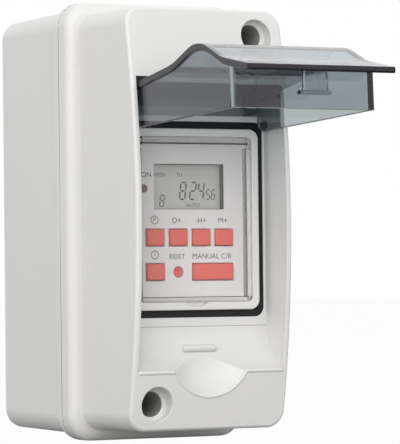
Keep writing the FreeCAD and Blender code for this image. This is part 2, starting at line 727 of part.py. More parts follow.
def seal_ring(wide, tall, thick, corner):
    """Two nested rectangles, the outline of a ring of cord."""
    inner = rectangle(wide - thick * 2, tall - thick * 2, corner - thick)
    return [rectangle(wide, tall, corner), inner]


def cover_seal():
    """Rubber cord at the bottom of the cover's groove, on the base's tongue."""
    piece = Piece("cover_seal")
    ring = seal_ring(tongue_wide, tongue_tall, s.tongue_thick, tongue_corner)
    piece.profile("cord", "front", ring, (tongue_end, tongue_end + s.cover_seal_tall))


def front_cover():
    """The cover: beaded rim, bowed front, recess with hinge pocket, ramp and scoop."""
    piece = Piece("front_cover")
    piece.block("rim", both(rim_wide / 2), (rim_back, rim_front), both(rim_tall / 2))
    piece.round_corners("rim_corners", s.rim_corner, rim_wide / 2, rim_tall / 2)
    piece.soften_face("rim_bead", s.rim_bead, rim_front)
    piece.soften_face("rim_back_edge", s.rim_back_edge, rim_back, "Chamfer")

    body_half = body_tall / 2
    plan = rectangle(body_wide, body_tall, s.body_corner)
    piece.profile("body", "front", [plan], (rim_front - 1, apex + 1))
    hollow_half = body_half - s.skin
    hollow_front = front_at(hollow_half, s.skin)
    hollow = [
        Corner(-rim_back + 1, hollow_half),
        Corner(-hollow_front, hollow_half, bow=front_radius - s.skin),
        Corner(-hollow_front, -hollow_half),
        Corner(-rim_back + 1, -hollow_half),
    ]
    piece.profile("hollow", "side", [hollow], both(body_wide / 2 - s.cover_wall), cut=True)

    # tub: the walls of the recess seen from behind, still filled in
    swing = root(s.pivot_along * s.pivot_along + s.pivot_down * s.pivot_down) + s.swing_gap
    shell = swing + s.pocket_wall
    shelf = pocket_floor - s.pocket_wall
    roof_up = pivot_up + root(shell * shell - (apex - pivot_deep) * (apex - pivot_deep))
    shelf_back = pivot_deep - root(shell * shell - (shelf - pivot_up) * (shelf - pivot_up))
    floor_back = recess_floor - s.floor_thick
    scoop_mid = ramp_top - s.scoop_down
    scoop_low = scoop_mid - s.scoop_wide / 2
    tub = [
        Corner(-apex, scoop_low - s.scoop_below),
        Corner(-front_at(scoop_low, s.skin), scoop_low - s.scoop_below),
        Corner(-(recess_floor - s.scoop_back), scoop_low + s.scoop_behind),
        Corner(-floor_back, scoop_mid),
        Corner(-floor_back, shelf),
        Corner(-shelf_back, shelf, bow=shell),
        Corner(-apex, roof_up),
    ]
    piece.profile("tub", "side", [tub], both(recess_wide / 2))

    # the two screw wells, upper right and lower left, still filled in
    well_top = front_at(screw_up)
    counterbore_floor = well_top - s.counterbore_deep
    for side, x, z in cover_screws_at:
        collar = s.counterbore_wide + s.well_wall * 2
        piece.post(f"collar_{side}", collar, (counterbore_floor - s.skin, apex), (x, z))
        piece.post(f"well_{side}", well_outer, (rim_back, counterbore_floor), (x, z))

    past = body_half + 1
    above = [
        Corner(-(apex + 2), past),
        Corner(-front_at(past), past, bow=front_radius),
        Corner(-front_at(past), -past),
        Corner(-(apex + 2), -past),
    ]
    piece.profile("bow", "side", [above], both(rim_wide), cut=True)
    bowed = []
    for i, face in enumerate(piece.body.Shape.Faces, start=1):
        round_face = face.Surface.TypeId == "Part::GeomCylinder"
        if round_face and abs(face.Surface.Radius - value(front_radius)) < 0.01:
            bowed.append(f"Face{i}")
    piece.soften("front_edge", "Chamfer", s.front_edge, bowed)

    # recess with its hinge pocket, the ramp below and the thumb scoop
    outside = door_plane + s.crest_rise
    rise = pocket_floor - pivot_up
    pocket_back = pivot_deep - root(swing * swing - rise * rise)
    mouth = body_ends + s.pocket_mouth
    mouth_up = pivot_up + root(swing * swing - (mouth - pivot_deep) * (mouth - pivot_deep))
    recess = [
        Corner(-outside, mouth_up),
        Corner(-outside, ramp_top),
        Corner(-recess_floor, ramp_top),
        Corner(-recess_floor, pocket_floor),
        Corner(-pocket_back, pocket_floor, bow=swing),
        Corner(-mouth, mouth_up),
    ]
    piece.profile("recess", "side", [recess], both(recess_wide / 2), cut=True)
    ramp_deep = recess_floor + s.ramp_step + s.ramp_radius
    piece.rod("ramp", s.ramp_radius * 2, "X", both(recess_wide / 2), (ramp_deep, ramp_top), cut=True)
    ramp_there = ramp_deep - root(s.ramp_radius * s.ramp_radius - s.catch_down * s.catch_down)
    catch_mid = ramp_top - s.catch_down
    catch_z = (catch_mid - s.catch_tall / 2, catch_mid + s.catch_tall / 2)
    scoop_out = root(s.scoop_ball * s.scoop_ball - s.scoop_wide * s.scoop_wide / 4)
    piece.ball_cut("scoop", s.scoop_ball, 0, front_at(scoop_mid) + scoop_out, scoop_mid)
    piece.block("catch", both(s.catch_wide / 2), (ramp_there - 1, ramp_there + s.catch_rise), catch_z)

    # window through the recess floor, with a rebate for its seal
    window = rectangle(window_half[0] * 2, window_half[1] * 2, s.hood_corner - s.window_gap)
    piece.profile("window", "front", [window], (floor_back - 1, recess_floor + 1), cut=True)
    rebate = rectangle(seal_outer[0] * 2, seal_outer[1] * 2, s.hood_corner)
    seat = seal_face - s.seal_tall
    piece.profile("rebate", "front", [rebate], (seat, recess_floor + 1), cut=True)

    # screw wells, opened from the front
    for side, x, z in cover_screws_at:
        through = s.screw_shank + s.screw_play * 2
        mouth = (counterbore_floor, apex)
        piece.rod(f"counterbore_{side}", s.counterbore_wide, "Y", mouth, (x, z), cut=True)
        piece.rod(f"bore_{side}", s.screw_well, "Y", (well_seat, apex), (x, z), cut=True)
        piece.rod(f"through_{side}", through, "Y", (rim_back - 1, well_seat + 1), (x, z), cut=True)

    # pivot holes in the cheeks
    reach = recess_wide / 2 + s.pivot_reach + s.pivot_gap
    hole = s.pivot_pin + s.pivot_gap * 2
    piece.rod("pivot_holes", hole, "X", both(reach), (pivot_deep, pivot_up), cut=True)

    # behind the rim: seal groove and locating lip
    gap = s.groove_gap
    groove_size = (tongue_wide + gap * 2, tongue_tall + gap * 2)
    groove = seal_ring(*groove_size, s.tongue_thick + gap * 2, tongue_corner + gap)
    piece.profile("groove", "front", groove, (rim_back - 1, tongue_end + s.cover_seal_tall), cut=True)
    lip_deep = (rim_back - s.lip_tall, rim_back + s.lip_thick)
    lip_out = (inner_wide / 2 - s.lip_gap, inner_tall / 2 - s.lip_gap)
    lip_half = (lip_out[0] * s.lip_share, lip_out[1] * s.lip_share)
    for side, sign in (("right", 1), ("left", -1)):
        x = sorted((sign * (lip_out[0] - s.lip_thick), sign * lip_out[0]), key=value)
        piece.block(f"lip_{side}", x, lip_deep, both(lip_half[1]))
    for side, sign in (("top", 1), ("bottom", -1)):
        z = sorted((sign * (lip_out[1] - s.lip_thick), sign * lip_out[1]), key=value)
        piece.block(f"lip_{side}", both(lip_half[0]), lip_deep, z)


def window_seal():
    """Black rubber ring between the timer's front and the cover."""
    piece = Piece("window_seal")
    ring = seal_ring(seal_outer[0] * 2, seal_outer[1] * 2, s.seal_wide, s.hood_corner)
    piece.profile("ring", "front", ring, (seal_face - s.seal_tall, seal_face))


def cover_screws():
    """Two long screws that hold the cover, deep in their wells."""
    piece = Piece("cover_screws")
    for side, x, z in cover_screws_at:
        head = (well_seat, well_seat + s.screw_head_tall)
        piece.rod(f"head_{side}", s.screw_head, "Y", head, (x, z))
        piece.rod(f"shank_{side}", s.screw_shank, "Y", (well_seat - s.screw_long, well_seat), (x, z))


def door():
    """Smoked door, drawn shut and turned open about its pins."""
    piece = Piece("door")

    def spot(along, rise, rounding=None):
        """A point of the shut door: along from the hinge end, rise outwards."""
        return Corner(-(door_plane + rise), door_top - along, rounding)

    def ridge(drop):
        """The hump's three rounded corners, drop below the outer surface."""
        return [
            spot(s.foot_along, s.foot_rise - drop, s.foot_round),
            spot(s.crest_along, s.crest_rise - drop, s.crest_round),
            spot(s.heel_along, s.heel_rise - drop, s.heel_round),
        ]

    half_plate = s.door_plate / 2
    lip_slope = (s.tip_rise - s.heel_rise) / (s.door_long - s.heel_along)
    front_rise = s.heel_rise + lip_slope * (s.door_front - s.heel_along)
    pivot_boss = s.door_deep - s.pivot_down
    walls = [spot(half_plate, -1 * half_plate)]
    walls += ridge(half_plate)
    walls += [
        spot(s.door_front, front_rise - half_plate),
        spot(s.door_front, -s.door_deep),
        spot(s.pivot_along, -s.door_deep),
        spot(s.pivot_along - pivot_boss, -s.pivot_down),
        spot(s.pivot_along - pivot_boss, -s.door_heel),
        spot(half_plate, -s.door_heel),
    ]
    wall_half = door_wide / 2 - s.door_inset
    piece.profile("walls", "side", [walls], both(wall_half))

    def end_wall_corner(edge):
        at = middle(edge)
        beside = abs(abs(at.x) - value(wall_half)) < 0.01
        at_end = abs(at.z - value(door_top - s.door_front)) < 0.01
        return straight_along(edge, "Y") and beside and at_end

    piece.soften("end_corners", "Fillet", s.door_corner, piece.edges(end_wall_corner))
    inner_half = wall_half - s.door_wall
    inside = (door_plane - s.door_deep - 1, door_plane + s.crest_rise)
    inner_end = door_top - s.door_front + s.door_wall
    piece.block("hollow", both(inner_half), inside, (inner_end, door_top + 1), cut=True)

    skin = [spot(0 * half_plate, 0 * half_plate, s.tip_round)]
    skin += ridge(0 * half_plate)
    skin += [
        spot(s.door_long, s.tip_rise, s.tip_round),
        spot(s.door_long, s.tip_rise - s.door_plate, s.tip_round),
    ]
    skin += ridge(s.door_plate)[::-1]
    skin += [spot(0 * half_plate, -s.door_plate, s.tip_round)]
    piece.profile("plate", "side", [skin], both(door_wide / 2))

    pin_end = recess_wide / 2 + s.pivot_reach
    at = (pivot_deep, pivot_up)
    for side, sign in (("right", 1), ("left", -1)):
        boss = sorted((inner_half * sign, wall_half * sign), key=value)
        pin = sorted((inner_half * sign, pin_end * sign), key=value)
        piece.rod(f"boss_{side}", pivot_boss * 2, "X", boss, at)
        piece.rod(f"pin_{side}", s.pivot_pin, "X", pin, at)

    # latch tab under the lip, with its hook towards the end wall
    tab_low = door_top - s.tab_along - s.tab_thick
    tab_high = door_top - s.tab_along
    tab_root = s.heel_rise + lip_slope * (s.tab_along - s.heel_along) - half_plate
    tab_deep = (door_plane - s.tab_end, door_plane + tab_root)
    piece.block("tab", both(s.tab_wide / 2), tab_deep, (tab_low, tab_high))
    hook_deep = (tab_deep[0], tab_deep[0] + s.hook_tall)
    piece.block("hook", both(s.hook_wide / 2), hook_deep, (tab_low, tab_high + s.hook_thick))

    hinge = FreeCAD.Vector(0, -value(pivot_deep), value(pivot_up))
    swing = FreeCAD.Rotation(FreeCAD.Vector(1, 0, 0), -value(s.door_open))
    piece.body.Placement = FreeCAD.Placement(FreeCAD.Vector(), swing, hinge)


def din_rail():
    """Galvanised top-hat rail, rolled sheet, across the box."""
    piece = Piece("din_rail")
    flange, channel = s.rail_wide / 2, s.rail_channel / 2
    thick = s.rail_thick
    hat = [
        Corner(-rail_face, flange),
        Corner(-rail_face, channel - thick, s.bend_outside),
        Corner(-(rail_foot + thick), channel - thick, s.bend_inside),
        Corner(-(rail_foot + thick), -(channel - thick), s.bend_inside),
        Corner(-rail_face, -(channel - thick), s.bend_outside),
        Corner(-rail_face, -flange),
        Corner(-(rail_face - thick), -flange),
        Corner(-(rail_face - thick), -channel, s.bend_inside),
        Corner(-rail_foot, -channel, s.bend_outside),
        Corner(-rail_foot, channel, s.bend_outside),
        Corner(-(rail_face - thick), channel, s.bend_inside),
        Corner(-(rail_face - thick), flange),
    ]
    rail_half = base_wide / 2 - s.base_wall - s.rail_end_gap
    piece.profile("hat", "side", [hat], both(rail_half))
    for side, x in rail_holes:
        long = s.rail_slot_long / 2
        through = (rail_foot - 1, rail_foot + thick + 1)
        piece.block(f"slot_{side}", (x - long, x + long), through, both(s.rail_slot / 2), cut=True)


def rail_screws():
    """Two hexagon-head screws that hold the rail on its posts."""
    piece = Piece("rail_screws")
    seat = rail_foot + s.rail_thick
    for side, x in rail_holes:
        piece.hexagon(f"head_{side}", s.rail_screw_head, (seat, seat + s.rail_screw_head_tall), (x, 0))
        piece.rod(f"shank_{side}", s.rail_screw, "Y", (seat - s.rail_screw_long, seat), (x, 0))


def timer_rear_case():
    """Back half of the timer's casing, hooked over the rail."""
    piece = Piece("timer_rear_case")
    half_x, half_z = s.timer_wide / 2, s.timer_tall / 2
    wall = s.case_wall
    piece.block("shell", both(half_x), (case_back, split_deep), both(half_z))
    notch = s.rail_wide / 2 + s.rail_fit
    notch_wall = rail_face + wall
    piece.block("hollow", both(case_inner[0]), (notch_wall, split_deep + 1), both(case_inner[1]), cut=True)
    upper = (notch + wall, case_inner[1])
    bay_deep = (case_back + wall, notch_wall + 1)
    piece.block("upper_bay", both(case_inner[0]), bay_deep, upper, cut=True)
    piece.block("rail_notch", both(half_x + 1), (case_back - 1, rail_face), both(notch), cut=True)
    hook = (notch - s.rail_fit - s.hook_overlap, notch + wall / 2)
    piece.block("rail_hook", both(half_x), (hook_front - wall, hook_front), hook)
    slot_half = s.clip_wide / 2 + s.clip_gap
    slot = (hook_front - s.clip_thick - s.clip_gap * 2, hook_front)
    piece.block("clip_slot", both(slot_half), slot, (-half_z - 1, -notch + 1), cut=True)
    lower = (-case_inner[1], -notch - wall)
    for side, sign in (("right", 1), ("left", -1)):
        bay = sorted((sign * (slot_half + wall), sign * case_inner[0]), key=value)
        piece.block(f"lower_bay_{side}", bay, bay_deep, lower, cut=True)
        for level, up in (("upper", 1), ("lower", -1)):
            at = ((half_x - s.post_side) * sign, (half_z - s.post_end) * up)
            piece.post(f"post_{side}_{level}", s.post_wide, (case_back + wall / 2, power_back), at)


def front_openings(piece, through):
    """Cut the display window, the key openings and the lamp hole."""
    lcd_z = (s.lcd_up - s.lcd_tall / 2, s.lcd_up + s.lcd_tall / 2)
    piece.block("display_window", both(s.lcd_wide / 2), through, lcd_z, cut=True)
    for name, x, z, wide in keys():
        half = (wide / 2 + s.key_gap, s.key_tall / 2 + s.key_gap)
        opening = (x - half[0], x + half[0]), through, (z - half[1], z + half[1])
        piece.block(f"{name}_hole", *opening, cut=True)
    piece.rod("reset_hole", s.reset_hole, "Y", through, reset_at, cut=True)
    piece.rod("led_hole", s.led_hole, "Y", through, led_at, cut=True)


def timer_front_case():
    """Front half of the casing: shoulders, hood, frame and sunk front wall."""
    piece = Piece("timer_front_case")
    half_x, half_z = s.timer_wide / 2, s.timer_tall / 2
    piece.block("shoulders", both(half_x), (split_deep, shoulder_deep), both(half_z))
    piece.block("hood", both(half_x), (shoulder_deep - s.case_wall, timer_front), both(hood[1]))
    piece.round_corners("hood_corners", s.hood_corner, half_x, hood[1])
    piece.soften_face("hood_edge", s.hood_edge, timer_front, "Chamfer")
    shoulder_room = (split_deep - 1, shoulder_inner)
    piece.block("hollow", both(case_inner[0]), shoulder_room, both(case_inner[1]), cut=True)
    hood_room = (shoulder_inner - 1, front_wall_back)
    piece.block("hood_hollow", both(hood_inner[0]), hood_room, both(hood_inner[1]), cut=True)
    inside = rectangle(frame[0] * 2, frame[1] * 2, s.frame_corner)
    piece.profile("frame", "front", [inside], (panel_back, timer_front + 1), cut=True)
    notch_up = -frame[1] + s.notch_radius - s.notch_deep
    notch_span = (timer_front - s.notch_back, timer_front + 1)
    piece.rod("finger_notch", s.notch_radius * 2, "Y", notch_span, (0, notch_up), cut=True)
    front_openings(piece, (front_wall_back - 1, panel_back + 1))
    reach = frame[0] + s.lid_pin_reach + s.lid_pin_gap
    piece.rod("lid_pin_holes", s.lid_pin + s.lid_pin_gap * 2, "X", both(reach), lid_pivot, cut=True)
    for number, (x, z) in enumerate(clamps_at, start=1):
        hole = (shoulder_inner - 1, shoulder_deep + 1)
        piece.post(f"screw_hole_{number}", s.shoulder_hole, hole, (x, z), cut=True)
        half = s.wire_hole / 2 + s.wire_way_gap
        span = (case_inner[1] - 1, half_z + 1)
        if value(z) < 0:
            span = (-span[1], -span[0])
        deep = (wire_deep - half, wire_deep + half)
        piece.block(f"wire_way_{number}", (x - half, x + half), deep, span, cut=True)
    for number, (sx, sz) in enumerate(((1, 1), (1, -1), (-1, 1), (-1, -1)), start=1):
        at = ((hood_inner[0] - s.peg_inset) * sx, (hood_inner[1] - s.peg_inset) * sz)
        piece.post(f"peg_{number}", s.peg_wide, (board_front, front_wall_back + s.case_wall / 2), at)


def keys():
    """Name, place and width of the six rectangular keys."""
    top = ("button_program", "button_day", "button_hour", "button_minute")
    found = [(name, x, s.key_row, s.key_wide) for name, x in zip(top, key_columns)]
    found.append(("button_clock", key_columns[0], lower_row, s.key_wide))
    found.append(("button_manual", wide_key_middle, lower_row, s.key_wide + s.key_pitch))
    return found


def tact_top():
    """Depth of the tact switch plungers."""
    return flange_back - s.key_travel - s.tact_play * 4


def stem_end():
    """Depth where a key's stem ends at rest: one travel above the pressed switch."""
    return tact_top() + s.tact_play + s.key_travel


def key_stem(piece, at):
    """The square stem behind a key's flange."""
    piece.post("stem", s.stem_wide, (stem_end(), flange_back + s.key_flange_thick / 2), at)


def buttons():
    """Six keys: cap through the panel, flange behind the wall, stem to its switch."""
    for name, x, z, wide in keys():
        piece = Piece(name)
        half = (wide / 2, s.key_tall / 2)
        cap = (flange_back, panel_face + s.key_proud)
        piece.block("cap", (x - half[0], x + half[0]), cap, (z - half[1], z + half[1]))
        rim = (half[0] + s.key_flange, half[1] + s.key_flange)
        flange = (flange_back, flange_front)
        piece.block("flange", (x - rim[0], x + rim[0]), flange, (z - rim[1], z + rim[1]))
        key_stem(piece, (x, z))


def reset_button():
    """Small round key, sunk in its opening and pressed with a pen."""
    piece = Piece("reset_button")
    piece.rod("cap", s.reset_wide, "Y", (flange_back, panel_face - s.reset_sunk), reset_at)
    piece.post("flange", s.reset_hole + s.key_flange * 2, (flange_back, flange_front), reset_at)
    key_stem(piece, reset_at)


def face_panel():
    """Thin printed sheet on the casing's sunk front wall."""
    piece = Piece("face_panel")
    half = (frame[0] - s.panel_gap, frame[1] - s.panel_gap)
    plan = rectangle(half[0] * 2, half[1] * 2, s.frame_corner)
    piece.profile("sheet", "front", [plan], (panel_back, panel_face))
    front_openings(piece, (panel_back - 1, panel_face + 1))


def clear_lid():
    """Transparent lid over the panel, hinged on two pins at its top edge."""
    piece = Piece("clear_lid")
    half_x = frame[0] - s.lid_gap
    low = -(frame[1] - s.lid_foot_gap)
    face = (timer_front - s.lid_thick, timer_front)
    piece.block("face", both(half_x), face, (low, lid_pivot[1]))

    def lower_corner(edge):
        return straight_along(edge, "Y") and middle(edge).z < 0

    piece.soften("corners", "Fillet", s.lid_corner, piece.edges(lower_corner))
    skirt = (timer_front - s.lid_skirt_deep, face[0] + s.lid_thick / 2)
    skirt_top = lid_pivot[1] - s.lid_barrel
    for side, sign in (("right", 1), ("left", -1)):
        x = sorted((sign * (half_x - s.lid_skirt), sign * half_x), key=value)
        piece.block(f"skirt_{side}", x, skirt, (low + s.lid_corner, skirt_top))
    inset = half_x - s.lid_corner
    piece.block("skirt_bottom", both(inset), skirt, (low, low + s.lid_skirt))
    barrel_half = half_x - s.lid_barrel_in
    for side, sign in (("right", 1), ("left", -1)):
        x = sorted((sign * barrel_half, sign * (half_x + 1)), key=value)
        ear = (lid_pivot[1] - s.lid_barrel / 2 - s.lid_gap, lid_pivot[1] + 1)
        piece.block(f"ear_{side}", x, (face[0] - 1, face[1] + 1), ear, cut=True)
    piece.rod("barrel", s.lid_barrel, "X", both(barrel_half), lid_pivot)
    piece.rod("pins", s.lid_pin, "X", both(frame[0] + s.lid_pin_reach), lid_pivot)


glass_half = (s.lcd_wide / 2 + s.glass_side, s.lcd_tall / 2 + s.glass_end)


def lcd_glass():
    """The display, behind its window in the front wall."""
    piece = Piece("lcd_glass")
    z = (s.lcd_up - glass_half[1], s.lcd_up + glass_half[1])
    piece.block("glass", both(glass_half[0]), (glass_back, glass_front), z)


def zebra_strips():
    """Two rubber contact strips between the display glass and its board."""
    piece = Piece("zebra_strips")
    for side, sign in (("upper", 1), ("lower", -1)):
        edge = s.lcd_up + sign * glass_half[1]
        z = sorted((edge, edge - sign * s.zebra_tall), key=value)
        piece.block(side, both(s.lcd_wide / 2), (board_front, glass_back), z)


def status_led():
    """Round lamp that stands on the display board and shows in the panel."""
    piece = Piece("status_led")
    piece.rod("body", s.led_wide, "Y", (board_front, panel_face), led_at)


def display_board():
    """Board behind the front wall, on four pegs."""
    piece = Piece("display_board")
    half = (hood_inner[0] - s.board_gap, hood_inner[1] - s.board_gap)
    piece.block("board", both(half[0]), (board_back, board_front), both(half[1]))


def tact_switches():
    """One small switch on the display board behind each key."""
    piece = Piece("tact_switches")
    spots = [(name, x, z) for name, x, z, wide in keys()]
    spots.append(("reset", *reset_at))
    top = board_front + s.tact_tall
    for name, x, z in spots:
        piece.post(f"{name}_case", s.tact_wide, (board_front, top), (x, z))
        piece.post(f"{name}_plunger", s.tact_button, (top - s.tact_tall / 2, tact_top()), (x, z))


def controller_chip():
    """Controller on the back of the display board."""
    piece = Piece("controller_chip")
    piece.post("chip", s.chip_wide, (board_back - s.chip_thick, board_back), (0, s.chip_down))


def backup_battery():
    """Coin cell on the back of the display board."""
    piece = Piece("backup_battery")
    piece.rod("cell", s.cell_wide, "Y", (board_back - s.cell_thick, board_back), (0, s.cell_up))


def power_board():
    """Board that carries the supply, the relay and the terminals."""
    piece = Piece("power_board")
    x = both(case_inner[0] - s.board_gap)
    z = both(case_inner[1] - s.power_board_gap)
    piece.block("board", x, (power_back, power_front), z)


def relay():
    """Relay on the back of the power board."""
    piece = Piece("relay")
    z = (s.relay_mid - s.relay_tall / 2, s.relay_mid + s.relay_tall / 2)
    piece.block("case", both(s.relay_wide / 2), (power_back - s.relay_deep, power_back), z)


def dropper_capacitor():
    """Film capacitor that drops the mains voltage."""
    piece = Piece("dropper_capacitor")
    z = (s.dropper_mid - s.dropper_tall / 2, s.dropper_mid + s.dropper_tall / 2)
    piece.block("case", both(s.dropper_wide / 2), (power_back - s.dropper_deep, power_back), z)


def filter_capacitor():
    """Round capacitor that smooths the supply."""
    piece = Piece("filter_capacitor")
    can = (power_back - s.filter_deep, power_back)
    piece.rod("can", s.filter_wide, "Y", can, (s.filter_across, s.filter_up))


def board_header():
    """Pin header that joins the power board to the display board."""
    piece = Piece("board_header")
    half = s.header_tall / 2
    z = (s.header_up - half, s.header_up + half)
    piece.block("body", both(s.header_wide / 2), (power_front, power_front + s.header_tall), z)
    for number in range(6):
        at = (s.pin_pitch * (number - 2.5), s.header_up)
        piece.post(f"pin_{number + 1}", s.pin_wide, (power_front + s.header_tall / 2, board_back), at)


def terminal_clamps():
    """Five open cages on the power board, three below and two above."""
    piece = Piece("terminal_clamps")
    half_x, half_z = s.clamp_wide / 2, s.clamp_tall / 2
    wire = s.wire_hole / 2
    for number, (x, z) in enumerate(clamps_at, start=1):
        cage_z = (z - half_z, z + half_z)
        piece.block(f"cage_{number}", (x - half_x, x + half_x), (power_front, clamp_top), cage_z)
        window = (x - wire, x + wire), (wire_deep - wire, clamp_top + 1), (z - half_z - 1, z + half_z + 1)
        piece.block(f"wire_{number}", *window, cut=True)


def terminal_screws():
    """Five six-sided clamping screws, each between the walls of its cage."""
    piece = Piece("terminal_screws")
    wide = s.wire_hole - s.thread_gap * 2
    span = (wire_deep + s.wire_hole / 2 - s.clamp_screw_gap, clamp_top + s.clamp_screw_proud)
    for number, at in enumerate(clamps_at, start=1):
        piece.hexagon(f"screw_{number}", wide, span, at)


def din_clip():
    """Sprung foot that slides down to free the timer from the rail."""
    piece = Piece("din_clip")
    deep = (hook_front - s.clip_thick - s.clip_gap, hook_front - s.clip_gap)
    top = -(s.rail_wide / 2 - s.hook_overlap)
    low = -(s.timer_tall / 2) - s.clip_tab
    piece.block("plate", both(s.clip_wide / 2), deep, (low, top))
    slot = (low + s.clip_slot_up, low + s.clip_slot_up + s.clip_slot_tall)
    piece.block("slot", both(s.clip_slot / 2), (deep[0] - 1, deep[1] + 1), slot, cut=True)


for build in (
    base_box, cover_seal, front_cover, window_seal, cover_screws, door, din_rail, rail_screws,
    timer_rear_case, timer_front_case, face_panel, clear_lid, lcd_glass, zebra_strips,
    status_led, buttons, reset_button, display_board, tact_switches, controller_chip,
    backup_battery, power_board, relay, dropper_capacitor, filter_capacitor, board_header,
    terminal_clamps, terminal_screws, din_clip,
):
    build()

doc.recompute()
failed = [o.Label for o in doc.Objects if "Invalid" in o.State or "Error" in o.State]
if failed:
    raise RuntimeError(f"failed objects: {failed}")
for piece in Piece.made:
    shape = piece.body.Shape
    if shape.isNull() or not shape.isValid() or shape.Volume <= 0:
        raise RuntimeError(f"{piece.body.Label} has no valid solid")

os.makedirs("parts", exist_ok=True)
for piece in Piece.made:
    piece.body.Shape.exportStep(f"parts/{piece.body.Label}.step")
    print(piece.body.Label, len(piece.body.Shape.Solids), round(piece.body.Shape.Volume, 1))
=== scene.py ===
import json
import math

import bmesh
import bpy
import numpy as np
from mathutils import Matrix, Vector

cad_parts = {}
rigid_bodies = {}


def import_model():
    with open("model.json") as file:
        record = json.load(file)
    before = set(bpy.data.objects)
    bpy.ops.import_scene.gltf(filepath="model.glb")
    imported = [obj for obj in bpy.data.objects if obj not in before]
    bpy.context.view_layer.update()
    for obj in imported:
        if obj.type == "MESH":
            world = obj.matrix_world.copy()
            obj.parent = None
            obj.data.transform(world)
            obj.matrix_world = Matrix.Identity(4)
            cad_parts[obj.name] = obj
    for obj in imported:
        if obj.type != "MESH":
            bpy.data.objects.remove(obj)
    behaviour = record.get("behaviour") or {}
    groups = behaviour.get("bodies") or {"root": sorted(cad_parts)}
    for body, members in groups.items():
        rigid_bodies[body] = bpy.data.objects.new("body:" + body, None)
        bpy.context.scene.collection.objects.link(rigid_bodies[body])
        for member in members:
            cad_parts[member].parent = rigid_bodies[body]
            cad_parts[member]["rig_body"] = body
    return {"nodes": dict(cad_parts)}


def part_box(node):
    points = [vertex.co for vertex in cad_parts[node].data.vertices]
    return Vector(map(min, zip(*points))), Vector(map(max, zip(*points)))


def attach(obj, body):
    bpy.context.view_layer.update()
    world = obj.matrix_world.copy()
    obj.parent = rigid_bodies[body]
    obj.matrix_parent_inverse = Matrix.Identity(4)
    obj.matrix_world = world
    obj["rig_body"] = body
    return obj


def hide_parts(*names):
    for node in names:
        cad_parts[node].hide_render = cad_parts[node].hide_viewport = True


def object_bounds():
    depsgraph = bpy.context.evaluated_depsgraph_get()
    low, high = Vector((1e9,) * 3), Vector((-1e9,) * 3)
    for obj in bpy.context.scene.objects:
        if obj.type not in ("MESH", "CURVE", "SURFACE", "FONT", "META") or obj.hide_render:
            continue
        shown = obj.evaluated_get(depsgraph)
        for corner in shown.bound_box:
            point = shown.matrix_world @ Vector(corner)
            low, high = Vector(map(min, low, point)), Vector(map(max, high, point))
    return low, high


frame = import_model()
cad_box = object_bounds()
scene = bpy.context.scene
scene.view_settings.view_transform = "Standard"

# Camera. It stands 0.8 m away, to the left of the front and a little below its
# middle, looks slightly up and is rolled by 0.6 degrees, as in the photograph.
MM = 0.001
AZIMUTH = math.radians(29.0)
LOOK_UP = math.radians(1.07)
ROLL = math.radians(0.64)
DISTANCE = 810 * MM
AIM_DEEP = 35 * MM
AIM_UP = -0.23 * MM
AIM_ASIDE = 14.57 * MM
FOCAL_PIXELS = 3170.0
PHOTO_HEIGHT = 444
SENSOR = 36.0

forward = Vector((
    math.sin(AZIMUTH) * math.cos(LOOK_UP),
    math.cos(AZIMUTH) * math.cos(LOOK_UP),
    math.sin(LOOK_UP),
))
level_right = Vector((math.cos(AZIMUTH), -math.sin(AZIMUTH), 0.0))
level_up = level_right.cross(forward)
right = level_right * math.cos(ROLL) - level_up * math.sin(ROLL)
up = level_up * math.cos(ROLL) + level_right * math.sin(ROLL)
aim = Vector((0, -AIM_DEEP, AIM_UP)) + level_right * AIM_ASIDE
eye = aim - forward * DISTANCE

lens = bpy.data.cameras.new("camera")
lens.sensor_width = SENSOR
lens.lens = FOCAL_PIXELS * SENSOR / PHOTO_HEIGHT
lens.clip_start = 0.01
lens.clip_end = 20.0
camera = bpy.data.objects.new("camera", lens)
turn = Matrix((right, up, -forward)).transposed().to_4x4()
camera.matrix_world = Matrix.Translation(eye) @ turn
scene.collection.objects.link(camera)
scene.camera = camera


# Light. A white surround that the camera, gloss and clear plastic see at full
# strength, a softer fill for everything else, and four soft lamps.
class Wire:
    """One output socket; sums and products on it add Math nodes to its shader."""

    def __init__(self, finish, socket):
        self.finish = finish
        self.socket = socket

    def math(self, operation, first, second):
        return self.finish.node("ShaderNodeMath", {"operation": operation}, {0: first, 1: second})

    def __add__(self, other):
        return self.math("ADD", self, other)

    def __sub__(self, other):
        return self.math("SUBTRACT", self, other)

    def __rsub__(self, other):
        return self.math("SUBTRACT", other, self)

    def __mul__(self, other):
        return self.math("MULTIPLY", self, other)

    __radd__ = __add__
    __rmul__ = __mul__


class Tree:
    """A node tree; node() adds any node, with its settings first and then its inputs."""

    def __init__(self, tree):
        self.tree = tree

    def node(self, kind, settings=None, inputs=None, output=0):
        made = self.tree.nodes.new(kind)
        for name, value in (settings or {}).items():
            setattr(made, name, value)
        for name, value in (inputs or {}).items():
            self.join(made.inputs[name], value)
        return Wire(self, made.outputs[output])

    def join(self, socket, value):
        if isinstance(value, Wire):
            self.tree.links.new(value.socket, socket)
        else:
            socket.default_value = value


FILL = 0.66
WHITE = (1.0, 1.0, 1.0, 1.0)
world = bpy.data.worlds.new("surround")
world.use_nodes = True
scene.world = world
surround = Tree(world.node_tree)
seen, mirrored, passed = (
    surround.node("ShaderNodeLightPath", output=f"Is {ray} Ray")
    for ray in ("Camera", "Glossy", "Transmission")
)
shown = seen.math("MAXIMUM", seen.math("MAXIMUM", seen, mirrored), passed)
background = world.node_tree.nodes["Background"]
surround.join(background.inputs["Strength"], shown * (1.0 - FILL) + FILL)
surround.join(background.inputs["Color"], WHITE)


